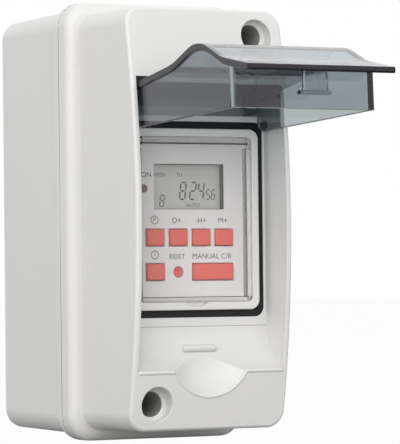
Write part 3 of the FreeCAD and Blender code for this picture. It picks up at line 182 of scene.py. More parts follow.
def lamp(name, place, aim_at, size, power):
    """A soft lamp, wide and tall as size says, at a place and facing a point.

    Places and sizes are in metres, the power is in watts.
    """
    light = bpy.data.lights.new(name, "AREA")
    light.shape = "RECTANGLE"
    light.size, light.size_y = size
    light.energy = power
    thing = bpy.data.objects.new(name, light)
    thing.location = place
    thing.rotation_euler = (Vector(aim_at) - Vector(place)).to_track_quat("-Z", "Y").to_euler()
    scene.collection.objects.link(thing)


lamp("key_light", (-0.1, -1.1, 0.55), (0, -0.04, 0), (1.3, 1.3), 5.3)
lamp("side_light", (-0.85, -0.88, 0.35), (0, -0.04, 0), (0.8, 0.8), 5.0)
lamp("back_light", (0.6, 0.62, 0.85), (0, -0.09, 0.03), (0.8, 0.8), 1.4)
lamp("strip_light", (-1.15, -0.3, 0.12), (0, -0.04, 0), (0.05, 0.6), 1.2)


# Floor. A wide pale sheet just below the box. The camera sees it nearly white and
# it still takes the box's shadow, which keeps light off the underside.
FLOOR_DROP = 5 * MM
FLOOR_REACH = 6.0
FLOOR_GLOW = 0.96


class Finish(Tree):
    """A material. Constants go on its own shader, what varies is fed in by name."""

    def __init__(self, name, constants=None):
        self.material = bpy.data.materials.new(name)
        self.material.use_nodes = True
        super().__init__(self.material.node_tree)
        self.shader = self.tree.nodes["Principled BSDF"]
        for socket, value in (constants or {}).items():
            self.shader.inputs[socket].default_value = value

    def feed(self, socket, wire):
        self.join(self.shader.inputs[socket], wire)

    def place(self):
        return self.node("ShaderNodeTexCoord", output="Object")

    def noise(self, scale, detail=2.0):
        inputs = {"Vector": self.place(), "Scale": scale, "Detail": detail}
        return self.node("ShaderNodeTexNoise", inputs=inputs, output="Fac")

    def blend(self, factor, first, second):
        """A colour between two colours, by a factor."""
        mix = self.tree.nodes.new("ShaderNodeMix")
        mix.data_type = "RGBA"
        sockets = {socket.name: socket for socket in mix.inputs if socket.enabled}
        for name, value in (("Factor", factor), ("A", first), ("B", second)):
            self.join(sockets[name], value)
        result = next(socket for socket in mix.outputs if socket.enabled)
        return Wire(self, result)

    def relief(self, height, distance):
        """Feeds a height, 0 to 1, to the surface as a bump of that depth in metres."""
        inputs = {"Height": height, "Distance": distance}
        self.feed("Normal", self.node("ShaderNodeBump", inputs=inputs))

    def send(self, socket, wire):
        """Joins a wire to the material's own output, its Surface or its Volume."""
        self.join(self.tree.nodes["Material Output"].inputs[socket], wire)

    def overlay(self, factor, other):
        """Mixes another shader over the finish's own one, by a factor."""
        inputs = {0: factor, 1: Wire(self, self.shader.outputs[0]), 2: other}
        self.send("Surface", self.node("ShaderNodeMixShader", inputs=inputs))


def screen(red, green, blue):
    """A colour as a screen shows it, 0 to 255, in the shader's linear units."""
    shown = np.array([red, green, blue]) / 255.0
    low = shown / 12.92
    high = ((shown + 0.055) / 1.055) ** 2.4
    return (*np.where(shown <= 0.04045, low, high).tolist(), 1.0)


floor_finish = Finish("pale_floor", {"Base Color": screen(156, 156, 156), "Roughness": 0.9})
to_camera = floor_finish.node("ShaderNodeLightPath", output="Is Camera Ray")
glow = floor_finish.node("ShaderNodeEmission", inputs={"Color": WHITE, "Strength": 1.0})
floor_finish.overlay(to_camera * FLOOR_GLOW, glow)

floor_mesh = bpy.data.meshes.new("floor")
corners = np.array([(-1, -1), (1, -1), (1, 1), (-1, 1)]) * FLOOR_REACH
floor_points = np.column_stack([corners, np.full(4, cad_box[0][2] - FLOOR_DROP)])
floor_mesh.from_pydata(floor_points.tolist(), [], [(0, 1, 2, 3)])
floor_mesh.materials.append(floor_finish.material)
floor = bpy.data.objects.new("floor", floor_mesh)
scene.collection.objects.link(floor)


# Base of the box. One injection-moulded shell of pale grey ABS with a slight
# draft, closed knockout rings above and below, and two wall holes in its floor.
def dress(piece, material):
    """Gives a piece one material."""
    piece.data.materials.clear()
    piece.data.materials.append(material)


SHARP = math.radians(30)
FLAT = math.radians(0.3)
MERGED = 0.002 * MM


def finished(node, material, edge):
    """A copy of a CAD node, its loose triangles merged, with narrow rounded edges.

    Flat neighbours become one face. Each sharp edge gets a bevel as wide as edge
    says: a number, or a function that gives each line's width; a width of nothing
    keeps it crisp. Normals are weighted by area so that flat faces stay flat.
    """
    cad = frame["nodes"][node]
    mesh = cad.data.copy()
    shape = bmesh.new()
    shape.from_mesh(mesh)
    bmesh.ops.remove_doubles(shape, verts=shape.verts, dist=MERGED)
    bmesh.ops.dissolve_limit(shape, angle_limit=FLAT, verts=shape.verts, edges=shape.edges)
    for face in shape.faces:
        face.smooth = True
    weight = shape.edges.layers.float.new("bevel_weight_edge")
    sharp = [line for line in shape.edges if line.calc_face_angle(0.0) > SHARP]
    widths = [edge(line) if callable(edge) else edge for line in sharp]
    widest = max(widths)
    for line, width in zip(sharp, widths):
        line[weight] = width / widest if widest else 0.0
        line.smooth = width > 0
    shape.to_mesh(mesh)
    shape.free()
    piece = bpy.data.objects.new(node + "_finished", mesh)
    scene.collection.objects.link(piece)
    dress(piece, material)
    if widest:
        bevel = piece.modifiers.new("edges", "BEVEL")
        bevel.limit_method = "WEIGHT"
        bevel.width = widest
        bevel.segments = 2
        bevel.use_clamp_overlap = False
    normals = piece.modifiers.new("normals", "WEIGHTED_NORMAL")
    normals.keep_sharp = True
    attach(piece, cad["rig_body"])
    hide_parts(node)
    return piece


def shaded(colour, share):
    """A colour of which only a share of the light is left."""
    return (*(part * share for part in colour[:3]), 1.0)


FLOW_SHADE = 0.94
SKIN_SPREAD = 0.06
FLOW_SPREAD = 0.05


def moulded(name, colour, roughness, grain=2600.0, depth=0.004 * MM):
    """Moulded plastic: faint flow marks in its colour, a fine even grain in its skin.

    Both of them vary the roughness evenly about the one that is given.
    """
    finish = Finish(name, {"IOR": 1.49})
    flow = finish.noise(35.0, 3.0)
    skin = finish.noise(grain, 2.0)
    finish.feed("Base Color", finish.blend(flow, shaded(colour, FLOW_SHADE), colour))
    least = roughness - (SKIN_SPREAD + FLOW_SPREAD) / 2
    finish.feed("Roughness", skin * SKIN_SPREAD + flow * FLOW_SPREAD + least)
    finish.relief(skin, depth)
    return finish.material


base_plastic = moulded("base_plastic", screen(228, 227, 226), 0.45)
finished("base_box", base_plastic, edge=0.3 * MM)


# Front cover. One moulding of pale grey ABS: beaded rim, bowed front, recess
# with ramp and thumb scoop, and two deep screw wells. Two screws hold it.
cover_plastic = moulded("cover_plastic", screen(230, 229, 227), 0.34)
RIM_PAST_X = 21.0 * MM
RIM_PAST_Z = 50.0 * MM
COVER_ROUND = 0.22 * MM


def middle_of(line):
    """The middle of an edge."""
    return (line.verts[0].co + line.verts[1].co) / 2


def cover_edge(line):
    """Rounded all over, but crisp in the inner corners where the body meets the rim.

    Those are past RIM_PAST_X or RIM_PAST_Z from the middle of the box.
    """
    middle = middle_of(line)
    at_rim = abs(middle.x) > RIM_PAST_X or abs(middle.z) > RIM_PAST_Z
    return 0 if at_rim and not line.is_convex else COVER_ROUND


cover = finished("front_cover", cover_plastic, cover_edge)


def mesh_piece(name, points, faces, material, body, slot, smooth=False):
    """A piece from points and faces, riding on a body. Its slot is not used."""
    mesh = bpy.data.meshes.new(name)
    mesh.from_pydata(np.asarray(points, float).tolist(), [], faces)
    mesh.materials.append(material)
    shape = bmesh.new()
    shape.from_mesh(mesh)
    bmesh.ops.recalc_face_normals(shape, faces=shape.faces)
    shape.to_mesh(mesh)
    shape.free()
    if smooth:
        mesh.shade_smooth()
    piece = bpy.data.objects.new(name, mesh)
    scene.collection.objects.link(piece)
    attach(piece, body)
    return piece


def joined(parts):
    """Points and faces of several (points, faces) parts as one."""
    points = np.vstack([part[0] for part in parts])
    starts = np.cumsum([0] + [len(part[0]) for part in parts[:-1]])
    faces = []
    for start, (_, part_faces) in zip(starts, parts):
        faces += [tuple(int(i + start) for i in face) for face in part_faces]
    return points, faces


def woven(grid, closed=False):
    """Points and four-sided faces of a grid, (rows, points round a row, 3).

    Every row is a ring. Each face spans two neighbours of a row and the two beside
    them in the next row, and a closed grid also joins its last row to its first.
    """
    index = np.arange(grid.shape[0] * grid.shape[1]).reshape(grid.shape[:2])
    if closed:
        index = np.vstack([index, index[:1]])
    onward = np.roll(index, -1, 1)
    quads = np.stack([index[:-1], onward[:-1], onward[1:], index[1:]], -1)
    return grid.reshape(-1, 3), [tuple(quad) for quad in quads.reshape(-1, 4)]


def swept(path, radius, steps=12, loop=False):
    """A round bar along a path: a circle square to the path at each point.

    The radius is one number or one for each point. A loop joins its last point to
    its first, and any other bar has flat ends.
    """
    if loop:
        along = np.roll(path, -1, 0) - np.roll(path, 1, 0)
    else:
        along = np.gradient(path, axis=0)
    along /= np.linalg.norm(along, axis=1, keepdims=True)
    across = np.cross(along, (0.0, 1.0, 0.0))
    across /= np.linalg.norm(across, axis=1, keepdims=True)
    beside = np.cross(across, along)
    angle = np.linspace(0, 2 * np.pi, steps, endpoint=False)[None, :, None]
    circles = across[:, None] * np.cos(angle) + beside[:, None] * np.sin(angle)
    circles *= np.broadcast_to(radius, len(path))[:, None, None]
    points, faces = woven(path[:, None] + circles, closed=loop)
    if not loop:
        last = len(points) - steps
        faces += [tuple(range(steps)), tuple(range(last, last + steps))[::-1]]
    return points, faces


def set_at(outline, y):
    """Points (x, z) of a flat outline as points in space, all at one y."""
    return np.column_stack([outline[:, 0], np.full(len(outline), y), outline[:, 1]])


def points_of(mesh):
    """The points of a mesh as an array, (count, 3)."""
    flat = np.zeros(len(mesh.vertices) * 3)
    mesh.vertices.foreach_get("co", flat)
    return flat.reshape(-1, 3)


# The front is an arc of radius 248.1 mm, the ramp below the recess one of 11.6 mm,
# and the thumb scoop a ball of radius 12 mm. On the copy the scoop is opened out a
# little, and the rim's sides go in by a hair, which leaves room for the painted
# shadow line of the seam. The values down to the catch are in millimetres.
BOW_RADIUS = 248.1
BOW_BACK = 175.1
RAMP_RADIUS = 11.6
RAMP_DEEP = 73.6
RAMP_UP = -26.5
BALL_RADIUS = 12.0
BALL_DEEP = 76.84
BALL_UP = -33.8
LIP_UP = -37.57
SCOOP_SCALE = 1.075
RIM_HALF = (25.0, 55.1)
RIM_CORNER = 6.6
RIM_INSET = 0.05
ON_SURFACE = 0.04


def bow_deep(z):
    """Depth of the bowed front: the arc's centre is BOW_BACK behind the wall."""
    return np.sqrt(BOW_RADIUS**2 - z * z) - BOW_BACK


def ramp_deep(z):
    """Depth of the ramp: an arc about a line RAMP_DEEP in front of the wall."""
    return RAMP_DEEP - np.sqrt(np.maximum(RAMP_RADIUS**2 - (z - RAMP_UP) ** 2, 0))


def opened(x, z):
    """A place in the scoop, moved away from the scoop's middle."""
    return x * SCOOP_SCALE, BALL_UP + (z - BALL_UP) * SCOOP_SCALE


# Points on the ball move outwards. Those on the bowed front stay on it and those on
# the ramp keep their height, so both surfaces stay true.
points = points_of(cover.data) / MM
x, deep, z = points[:, 0], -points[:, 1], points[:, 2]
from_ball = np.sqrt(x * x + (deep - BALL_DEEP) ** 2 + (z - BALL_UP) ** 2) - BALL_RADIUS
on_ball = (np.abs(from_ball) < ON_SURFACE) & (z < BALL_UP) & (np.abs(x) < BALL_RADIUS)
on_bow = on_ball & (np.abs(deep - bow_deep(z)) < ON_SURFACE)
on_ramp = on_ball & (np.abs(deep - ramp_deep(z)) < ON_SURFACE)
wide_x, wide_z = opened(x, z)
wide_z = np.where(on_ramp, z, wide_z)
new_deep = np.where(on_bow & ~on_ramp, bow_deep(wide_z), deep)
points[on_ball] = np.column_stack([wide_x, -new_deep, wide_z])[on_ball]

# Points on the rim's side lie at least RIM_CORNER from the inset corners.
past = [
    np.maximum(np.abs(value) - half + RIM_CORNER, 0)
    for value, half in zip((x, z), RIM_HALF)
]
on_rim = np.hypot(*past) > RIM_CORNER - ON_SURFACE
points[on_rim] *= (1 - RIM_INSET / RIM_HALF[0], 1, 1 - RIM_INSET / RIM_HALF[1])
cover.data.vertices.foreach_set("co", (points * MM).ravel())
cover.data.update()

# A slim rounded lip follows the ramp's lower edge and dips round the scoop, along
# the line where ball and front meet. Twenty rounds bring a first height onto it.
LIP_SUNK = 0.24
DIP_HALF = 9.5
DIP_RADIUS = 0.45
DIP_FIRST_UP = -41.0
SIDE_FROM = 10.1
SIDE_TO = 20.2
SIDE_RADIUS = 0.55
dip_x = np.linspace(-DIP_HALF, DIP_HALF, 57)
dip_z = np.full_like(dip_x, DIP_FIRST_UP)
for _ in range(20):
    dip_z = BALL_UP - np.sqrt(BALL_RADIUS**2 - dip_x**2 - (bow_deep(dip_z) - BALL_DEEP) ** 2)
side_x = np.linspace(SIDE_FROM, SIDE_TO, 23)
side_z = np.full_like(side_x, LIP_UP)
lips = []
for x, z, radius in (
    (*opened(dip_x, dip_z), DIP_RADIUS),
    (-side_x[::-1], side_z, SIDE_RADIUS),
    (side_x, side_z, SIDE_RADIUS),
):
    path = np.column_stack([x, LIP_SUNK - bow_deep(z), z])
    lips.append(swept(path * MM, radius * MM))
mesh_piece("scoop_lip", *joined(lips), cover_plastic, "enclosure", "cover_plastic", smooth=True)

# The catch on the ramp is a bar with rounded ends, over which the door's latch
# snaps. At either end its radius falls almost to nothing along a quarter circle.
CATCH_HALF = 4.75
CATCH_RADIUS = 0.82
CATCH_DEEP = 64.05
CATCH_UP = -31.9
CATCH_TIP = 0.12
catch_turn = np.linspace(CATCH_TIP, np.pi / 2, 7)
catch_reach = CATCH_HALF - CATCH_RADIUS * (1 - np.cos(catch_turn))
catch_x = np.concatenate([-catch_reach, catch_reach[::-1]])
catch_thick = CATCH_RADIUS * np.sin(np.concatenate([catch_turn, catch_turn[::-1]]))
catch_path = set_at(np.column_stack([catch_x, np.full_like(catch_x, CATCH_UP)]), -CATCH_DEEP)
bar = swept(catch_path * MM, catch_thick * MM, steps=20)
mesh_piece("catch_bar", *bar, cover_plastic, "enclosure", "cover_plastic", smooth=True)


# Seals. A cord of black rubber in the joint of the box and a flat black ring
# round the timer's front, both cut from extruded rubber and laid in place.
rubber = Finish("seal_rubber", {"Specular IOR Level": 0.35})
bloom = rubber.noise(420.0, 4.0)
rubber.feed("Base Color", rubber.blend(bloom, screen(16, 16, 17), screen(34, 34, 36)))
rubber.feed("Roughness", bloom * 0.2 + 0.5)
rubber.relief(rubber.noise(3000.0, 2.0), 0.01 * MM)
for node in ("cover_seal", "window_seal", "zebra_strips"):
    dress(frame["nodes"][node], rubber.material)


def flat_ring(x, z, radius, width, face_y, thick, steps=40):
    """A flat ring about a point: a small rectangle carried round a circle."""
    angle = np.linspace(0, 2 * np.pi, steps, endpoint=False)[:, None]
    reach = radius + np.array([-1, 1, 1, -1]) * width / 2
    y = face_y + np.array([0, 0, 1, 1]) * thick
    grid = np.stack([x + reach * np.cos(angle), y + 0 * angle, z + reach * np.sin(angle)], -1)
    return woven(grid, closed=True)


def rounded_loop(half_x, half_z, corner, steps=6):
    """A rounded rectangle: a quarter circle about each inset corner, in turn."""
    quarter = np.linspace(0, np.pi / 2, steps)
    arcs = []
    for turns, (side_x, side_z) in enumerate(((1, 1), (-1, 1), (-1, -1), (1, -1))):
        angle = quarter + turns * np.pi / 2
        arcs.append(np.column_stack([
            side_x * (half_x - corner) + corner * np.cos(angle),
            side_z * (half_z - corner) + corner * np.sin(angle),
        ]))
    return np.vstack(arcs)


# A painted shadow line runs round the rim's side, where the two halves of the box
# meet: a hair-thin dark bar in the shade under the rim's back edge. Its painted
# shade is darkest above and below, and thin and pale about the middle.
SEAM_HALF = (24.89 * MM, 54.99 * MM)
SEAM_CORNER = 6.5 * MM
SEAM_DEEP = 37.65 * MM
SEAM_RADIUS = 0.11 * MM
SEAM_PALE_UP = 3 * MM
SEAM_FADE = 40.0
# The line's colour is painted shadow, darkest away from SEAM_PALE_UP.
seam_shadow = Finish("seam_painted_shadow", {"Roughness": 0.6})
height = seam_shadow.node("ShaderNodeSeparateXYZ", inputs={0: seam_shadow.place()}, output="Z")
away = seam_shadow.node("ShaderNodeMath", {"operation": "ABSOLUTE"}, {0: height - SEAM_PALE_UP})
fade = away * SEAM_FADE + seam_shadow.noise(60.0, 2.0) * 0.4
seam_shadow.feed("Base Color", seam_shadow.blend(fade, screen(196, 195, 193), screen(58, 58, 60)))
seam_path = set_at(rounded_loop(*SEAM_HALF, SEAM_CORNER, steps=7), -SEAM_DEEP)
cord = swept(seam_path, SEAM_RADIUS, steps=8, loop=True)
mesh_piece("seam_shadow_line", *cord, seam_shadow.material, "enclosure", "seal_rubber", smooth=True)

# A thin sleeve of painted shade lines the bore of each screw well, above the screw's
# head: its dark grey stands for the shade deep in the bore.
WELLS = ((14.5 * MM, 45.3 * MM), (-14.5 * MM, -45.3 * MM))
SLEEVE_RADIUS = 3.09 * MM
SLEEVE_WALL = 0.09 * MM
SLEEVE_DEEP = 65.1 * MM
SLEEVE_LONG = 24.4 * MM
# Painted shade: a mottled dark grey standing for the shade inside the bore.
bore_shade = Finish("well_painted_shade", {"Specular IOR Level": 0.3})
bore_shade_noise = bore_shade.noise(700.0, 3.0)
bore_shade.feed("Base Color", bore_shade.blend(bore_shade_noise, screen(108, 110, 104), screen(134, 135, 130)))
bore_shade.feed("Roughness", bore_shade_noise * 0.1 + 0.6)
sleeves = [
    flat_ring(x, z, SLEEVE_RADIUS, SLEEVE_WALL, -SLEEVE_DEEP, SLEEVE_LONG) for x, z in WELLS
]
mesh_piece("well_shade_sleeves", *joined(sleeves), bore_shade.material, "enclosure", "seal_rubber", smooth=True)


# Steel. The rail is rolled from galvanised strip, with a faint spangle, and the
# screws are turned and zinc plated. The coin cell has a pressed steel case.
steel = Finish("zinc_steel", {"Metallic": 1.0})
spangle_inputs = {"Vector": steel.place(), "Scale": 500.0}
spangle = steel.node("ShaderNodeTexVoronoi", inputs=spangle_inputs, output="Distance")
steel.feed("Base Color", steel.blend(spangle, screen(196, 196, 194), screen(168, 170, 172)))
steel.feed("Roughness", spangle * 0.25 + 0.28)
steel.relief(steel.noise(1500.0, 3.0), 0.004 * MM)
for node in ("rail_screws", "din_rail", "terminal_screws", "backup_battery"):
    dress(frame["nodes"][node], steel.material)


def plates(outlines, face_y, thick):
    """Flat prisms from an array of outlines, (count, corners, x and z), facing -Y.

    Each outline is copied to the face and to a back at thick behind it; the two
    are closed by a band of four-sided faces.
    """
    count, corners, _ = outlines.shape
    layers = [
        np.stack([outlines[..., 0], np.full((count, corners), y), outlines[..., 1]], -1)
        for y in (face_y, face_y + thick)
    ]
    ring = np.arange(corners)
    after = np.roll(ring, -1)
    band = np.column_stack([ring, ring + corners, after + corners, after])
    faces = []
    for start in range(0, count * 2 * corners, 2 * corners):
        faces.append(tuple(start + ring))
        faces.append(tuple(start + corners + ring[::-1]))
        faces += [tuple(row) for row in start + band]
    return np.stack(layers, 1).reshape(-1, 3), faces


def ready_mesh(thing):
    """A new mesh from an object as it stands, with what its modifiers do."""
    ready = thing.evaluated_get(bpy.context.evaluated_depsgraph_get())
    return bpy.data.meshes.new_from_object(ready)


# The two cover screws have a cross recess, pressed into the head.
CROSS_REACH = 1.7 * MM
CROSS_HALF = 0.4 * MM
CROSS_DEEP = 1.3 * MM
AT_FACE = 0.01 * MM
screws = finished("cover_screws", steel.material, edge=0)
head_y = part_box("cover_screws")[0].y

# Each arm's three corners are the last arm's, turned a quarter: (x, z) to (-z, x).
arms = [np.array([
    (CROSS_HALF, CROSS_HALF), (CROSS_HALF, CROSS_REACH), (-CROSS_HALF, CROSS_REACH),
])]
for _ in range(3):
    arms.append(arms[-1][:, ::-1] * (-1, 1))
cross = np.vstack(arms)

screw_points = points_of(screws.data)
heads = screw_points[screw_points[:, 1] < head_y + AT_FACE][:, [0, 2]]
centres = np.array([heads[heads[:, 1] > 0].mean(0), heads[heads[:, 1] < 0].mean(0)])
cutter_mesh = bpy.data.meshes.new("cross_cutter")
cutter_points, cutter_faces = plates(centres[:, None] + cross, head_y - CROSS_DEEP, CROSS_DEEP * 2)
cutter_mesh.from_pydata(cutter_points.tolist(), [], cutter_faces)
cutter = bpy.data.objects.new("cross_cutter", cutter_mesh)
scene.collection.objects.link(cutter)
recess = screws.modifiers.new("recess", "BOOLEAN")
recess.object = cutter
recess.operation = "DIFFERENCE"
cut_mesh = ready_mesh(screws)
screws.modifiers.clear()
screws.data = cut_mesh
bpy.data.objects.remove(cutter)


# Door. One moulding of smoked polycarbonate, polished, which takes in light over
# its whole depth, so thin walls look blue grey and edges nearly black.
def lets_light_through(finish, tint):
    """Lamp light on its way to a surface behind passes a clear finish unbent."""
    shadow = finish.node("ShaderNodeLightPath", output="Is Shadow Ray")
    finish.overlay(shadow, finish.node("ShaderNodeBsdfTransparent", inputs={"Color": tint}))


def takes_in_light(finish, colour, density):
    """What is inside a clear finish takes in light, more of it the thicker it is."""
    inputs = {"Color": colour, "Density": density}
    finish.send("Volume", finish.node("ShaderNodeVolumeAbsorption", inputs=inputs))


smoke = Finish("smoked_polycarbonate", {
    "Transmission Weight": 1.0,
    "IOR": 1.58,
    "Base Color": WHITE,
    "Specular Tint": (0.95, 0.88, 1.0, 1.0),
})
swirl = smoke.noise(60.0, 3.0)
smoke.feed("Roughness", swirl * 0.03 + 0.015)
smoke.relief(smoke.noise(45.0, 2.0), 0.02 * MM)
takes_in_light(smoke, (0.12, 0.235, 0.3, 1.0), 480.0)
lets_light_through(smoke, (0.92, 0.92, 0.92, 1.0))

# The latch tab lies about the middle of the door's far end, and the end wall's
# upright corners lie out beside it.
TAB_HALF = 5 * MM
TAB_DEEP = 100 * MM
END_HALF = 17 * MM
END_DEEP = 105 * MM
SHORTEST = 3 * MM
UPRIGHT = 0.9
CORNER_ROUND = 0.6 * MM
DOOR_ROUND = 0.12 * MM


def door_edge(line):
    """Wide at the upright corners of the end wall and of the latch tab."""
    along = line.verts[1].co - line.verts[0].co
    middle = middle_of(line)
    upright = abs(along.z) > UPRIGHT * along.length and along.length > SHORTEST
    of_tab = abs(middle.x) < TAB_HALF and middle.y < -TAB_DEEP
    of_end = abs(middle.x) > END_HALF and middle.y < -END_DEEP
    return CORNER_ROUND if upright and (of_tab or of_end) else DOOR_ROUND


finished("door", smoke.material, door_edge)


# Timer casing. Two halves of white flame-retardant plastic, the front one with
# shoulders, a raised hood and a frame round the panel.
timer_white = screen(234, 232, 228)
timer_plastic = moulded("timer_plastic", timer_white, 0.36, grain=3200.0, depth=0.002 * MM)
finished("timer_front_case", timer_plastic, edge=0.18 * MM)
dress(frame["nodes"]["timer_rear_case"], timer_plastic)


# Panel. A thin polyester sheet, printed grey on its face, glued on the timer's
# sunk front wall. Its marks name the keys and are printed in dark grey.
panel = Finish("panel_sheet", {"Coat Weight": 0.15, "Coat Roughness": 0.3})
fleck = panel.noise(5200.0, 2.0)
panel.feed("Base Color", panel.blend(fleck, screen(230, 225, 222), screen(237, 232, 229)))
panel.feed("Roughness", fleck * 0.1 + 0.45)
dress(frame["nodes"]["face_panel"], panel.material)

ink = Finish("print_ink")
coverage = ink.noise(4000.0, 2.0)
ink.feed("Base Color", ink.blend(coverage, screen(58, 56, 62), screen(78, 76, 82)))
ink.feed("Roughness", coverage * 0.1 + 0.55)

PRINT_THICK = 0.02 * MM
panel_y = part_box("face_panel")[0].y


def words(text, x, z, tall, face_y):
    """Letters of the built-in face, tall high, set about x and z and facing -Y.

    They are made with a small depth of their own, which is then set to PRINT_THICK.
    """
    curve = bpy.data.curves.new("letters", "FONT")
    curve.body = text
    curve.resolution_u = 4
    curve.extrude = 0.01
    thing = bpy.data.objects.new("letters", curve)
    scene.collection.objects.link(thing)
    mesh = ready_mesh(thing)
    bpy.data.objects.remove(thing)
    letters = points_of(mesh)
    low, high = letters.min(0), letters.max(0)
    middle = (low + high) / 2
    scale = tall / (high[1] - low[1])
    deep = (high[2] - letters[:, 2]) / (high[2] - low[2]) * PRINT_THICK
    points = np.column_stack([
        x + (letters[:, 0] - middle[0]) * scale,
        face_y + deep,
        z + (letters[:, 1] - middle[1]) * scale,
    ])
    return points, [tuple(face.vertices) for face in mesh.polygons]


# Each label's middle, x and z, and the height of its letters, in millimetres.
LABELS = {
    "D+": (-3.6, -0.15, 1.35),
    "H+": (3.55, -0.2, 1.35),
    "M+": (9.5, -0.2, 1.35),
    "RESET": (-3.6, -9.15, 1.2),
    "MANUAL C/R": (6.35, -9.1, 1.32),
    "ON": (-12.1, 11.1, 1.3),
}
print_y = panel_y - PRINT_THICK / 2
labels = [
    words(text, x * MM, z * MM, tall * MM, print_y) for text, (x, z, tall) in LABELS.items()
]

# A ring stands over each of two keys, with a P in one and a clock's hands in the
# other. The hands are two bars from the clock's middle, upwards and to the right.
SIGN_RADIUS = 1.0 * MM
SIGN_LINE = 0.2 * MM
SIGN_TALL = 1.1 * MM
HAND_HALF = 0.08
HAND_UP = 0.62
HAND_RIGHT = 0.45
program_sign = (-9.85 * MM, -0.1 * MM)
clock_sign = (-9.85 * MM, -8.75 * MM)
for x, z in (program_sign, clock_sign):
    labels.append(flat_ring(x, z, SIGN_RADIUS, SIGN_LINE, print_y, PRINT_THICK))
labels.append(words("P", *program_sign, SIGN_TALL, print_y))
hands = []
for to_x, to_z in ((HAND_HALF, HAND_UP), (HAND_RIGHT, HAND_HALF)):
    hands.append([(-HAND_HALF, -HAND_HALF), (to_x, -HAND_HALF), (to_x, to_z), (-HAND_HALF, to_z)])
labels.append(plates(np.array(hands) * MM + clock_sign, print_y, PRINT_THICK))
mesh_piece("panel_marks", *joined(labels), ink.material, "enclosure", "black_plastic")


# Display. A reflective liquid-crystal glass, grey green, sunk behind the panel's
# window. Its dark marks are the segments that are switched on.
glass = Finish("display_glass", {"Coat Weight": 0.6, "Coat Roughness": 0.08, "Roughness": 0.55})
cloud = glass.noise(180.0, 2.0)
glass.feed("Base Color", glass.blend(cloud, screen(195, 193, 184), screen(203, 201, 193)))
dress(frame["nodes"]["lcd_glass"], glass.material)

segment = Finish("display_segment", {"Roughness": 0.5})
fade = segment.noise(900.0, 2.0)
segment.feed("Base Color", segment.blend(fade, screen(62, 64, 62), screen(82, 84, 80)))

# Which segments each digit lights, and the two corners that a segment runs between.
LIT = {"2": "abged", "4": "fgbc", "5": "afgcd", "6": "afgedc", "8": "abcdefg"}
ENDS = {
    "a": ((0, 2), (1, 2)),
    "b": ((1, 1), (1, 2)),
    "c": ((1, 0), (1, 1)),
    "d": ((0, 0), (1, 0)),
    "e": ((0, 0), (0, 1)),
    "f": ((0, 1), (0, 2)),
    "g": ((0, 1), (1, 1)),
}
LEAN = 0.12
BAR_SHORT = 0.35
BAR_SHOULDER = 0.8


def digits(text, left, low, wide, tall, gap, line):
    """Outlines of seven-segment digits: each lit segment is a six-cornered bar.

    A bar runs between two of the digit's six corners, is pointed at both ends and
    stops a little short of them; the lean shifts every point right with its height.
    Sizes are in millimetres, outlines in metres.
    """
    bars = []
    for place, sign in enumerate(text):
        corner = np.array([left + place * (wide + gap), low])
        for name in LIT[sign]:
            start, end = (corner + np.array(spot) * (wide, tall / 2) for spot in ENDS[name])
            along = (end - start) / np.linalg.norm(end - start)
            across = np.array([-along[1], along[0]]) * line / 2
            short = along * line * BAR_SHORT
            inner = along * line * BAR_SHOULDER
            bars.append([
                start + short, start + inner - across, end - inner - across,
                end - short, end - inner + across, start + inner + across,
            ])
    bars = np.array(bars)
    bars[..., 0] += (bars[..., 1] - low) * LEAN
    return bars * MM


glass_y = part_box("lcd_glass")[0].y - PRINT_THICK
marks = [
    plates(digits(*row), glass_y, PRINT_THICK)
    for row in (
        ("8", -1.75, 5.1, 1.5, 4.2, 0.7, 0.4),
        ("24", 1.1, 5.1, 1.5, 4.2, 0.8, 0.4),
        ("56", 5.75, 5.1, 1.0, 2.4, 0.5, 0.3),
        ("8", -7.4, 3.3, 1.1, 2.8, 0.5, 0.3),
    )
]
for text, x, z, tall in (
    ("WEEK", -7.3, 11.2, 0.95),
    ("TU", -1.75, 11.2, 0.95),
    ("AUTO", 2.1, 3.6, 1.0),
):
    marks.append(words(text, x * MM, z * MM, tall * MM, glass_y))
mesh_piece("display_marks", *joined(marks), segment.material, "enclosure", "black_plastic")

# A dark sleeve of painted shade lines the window from the glass to the panel's face;
# its grey stands for the shade on the window's inner walls.
# Painted shade for the window's inner walls, mottled dark grey.
window_shade = Finish("window_painted_shade", {"Specular IOR Level": 0.2})
window_shade_noise = window_shade.noise(2600.0, 3.0)
window_shade.feed("Base Color", window_shade.blend(window_shade_noise, screen(70, 70, 72), screen(104, 104, 106)))
window_shade.feed("Roughness", window_shade_noise * 0.1 + 0.8)
WINDOW_HALF = (9.9 * MM, 5.65 * MM)
WINDOW_UP = 8.2 * MM
LINER_THICK = 0.12 * MM
LINER_GAP = 0.01 * MM
LINER_SUNK = 0.15 * MM


def sleeve(half_x, half_z, up, thick, front_y, back_y):
    """A four-sided tube: a small rectangle carried round the corners of a larger one."""
    signs = np.array([(-1, -1), (1, -1), (1, 1), (-1, 1)])
    rings = []
    for inset, y in ((0, back_y), (0, front_y), (thick, front_y), (thick, back_y)):
        rings.append(set_at(signs * (half_x - inset, half_z - inset) + (0, up), y))
    return woven(np.array(rings), closed=True)


liner = sleeve(
    WINDOW_HALF[0] - LINER_GAP, WINDOW_HALF[1] - LINER_GAP, WINDOW_UP, LINER_THICK,
    panel_y + LINER_SUNK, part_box("lcd_glass")[0].y - LINER_GAP,
)
mesh_piece("window_shade_liner", *liner, window_shade.material, "enclosure", "black_plastic")


# Keys. Six caps of salmon-red plastic with softly rounded tops, a flange behind
# the panel's wall and a stem down to the switch, and a small round one for reset.
key = Finish("key_plastic")
patch = key.noise(700.0, 2.0)
key.feed("Base Color", key.blend(patch, screen(228, 88, 70), screen(238, 98, 80)))
key.feed("Roughness", patch * 0.1 + 0.42)
key.relief(key.noise(4200.0, 2.0), 0.004 * MM)


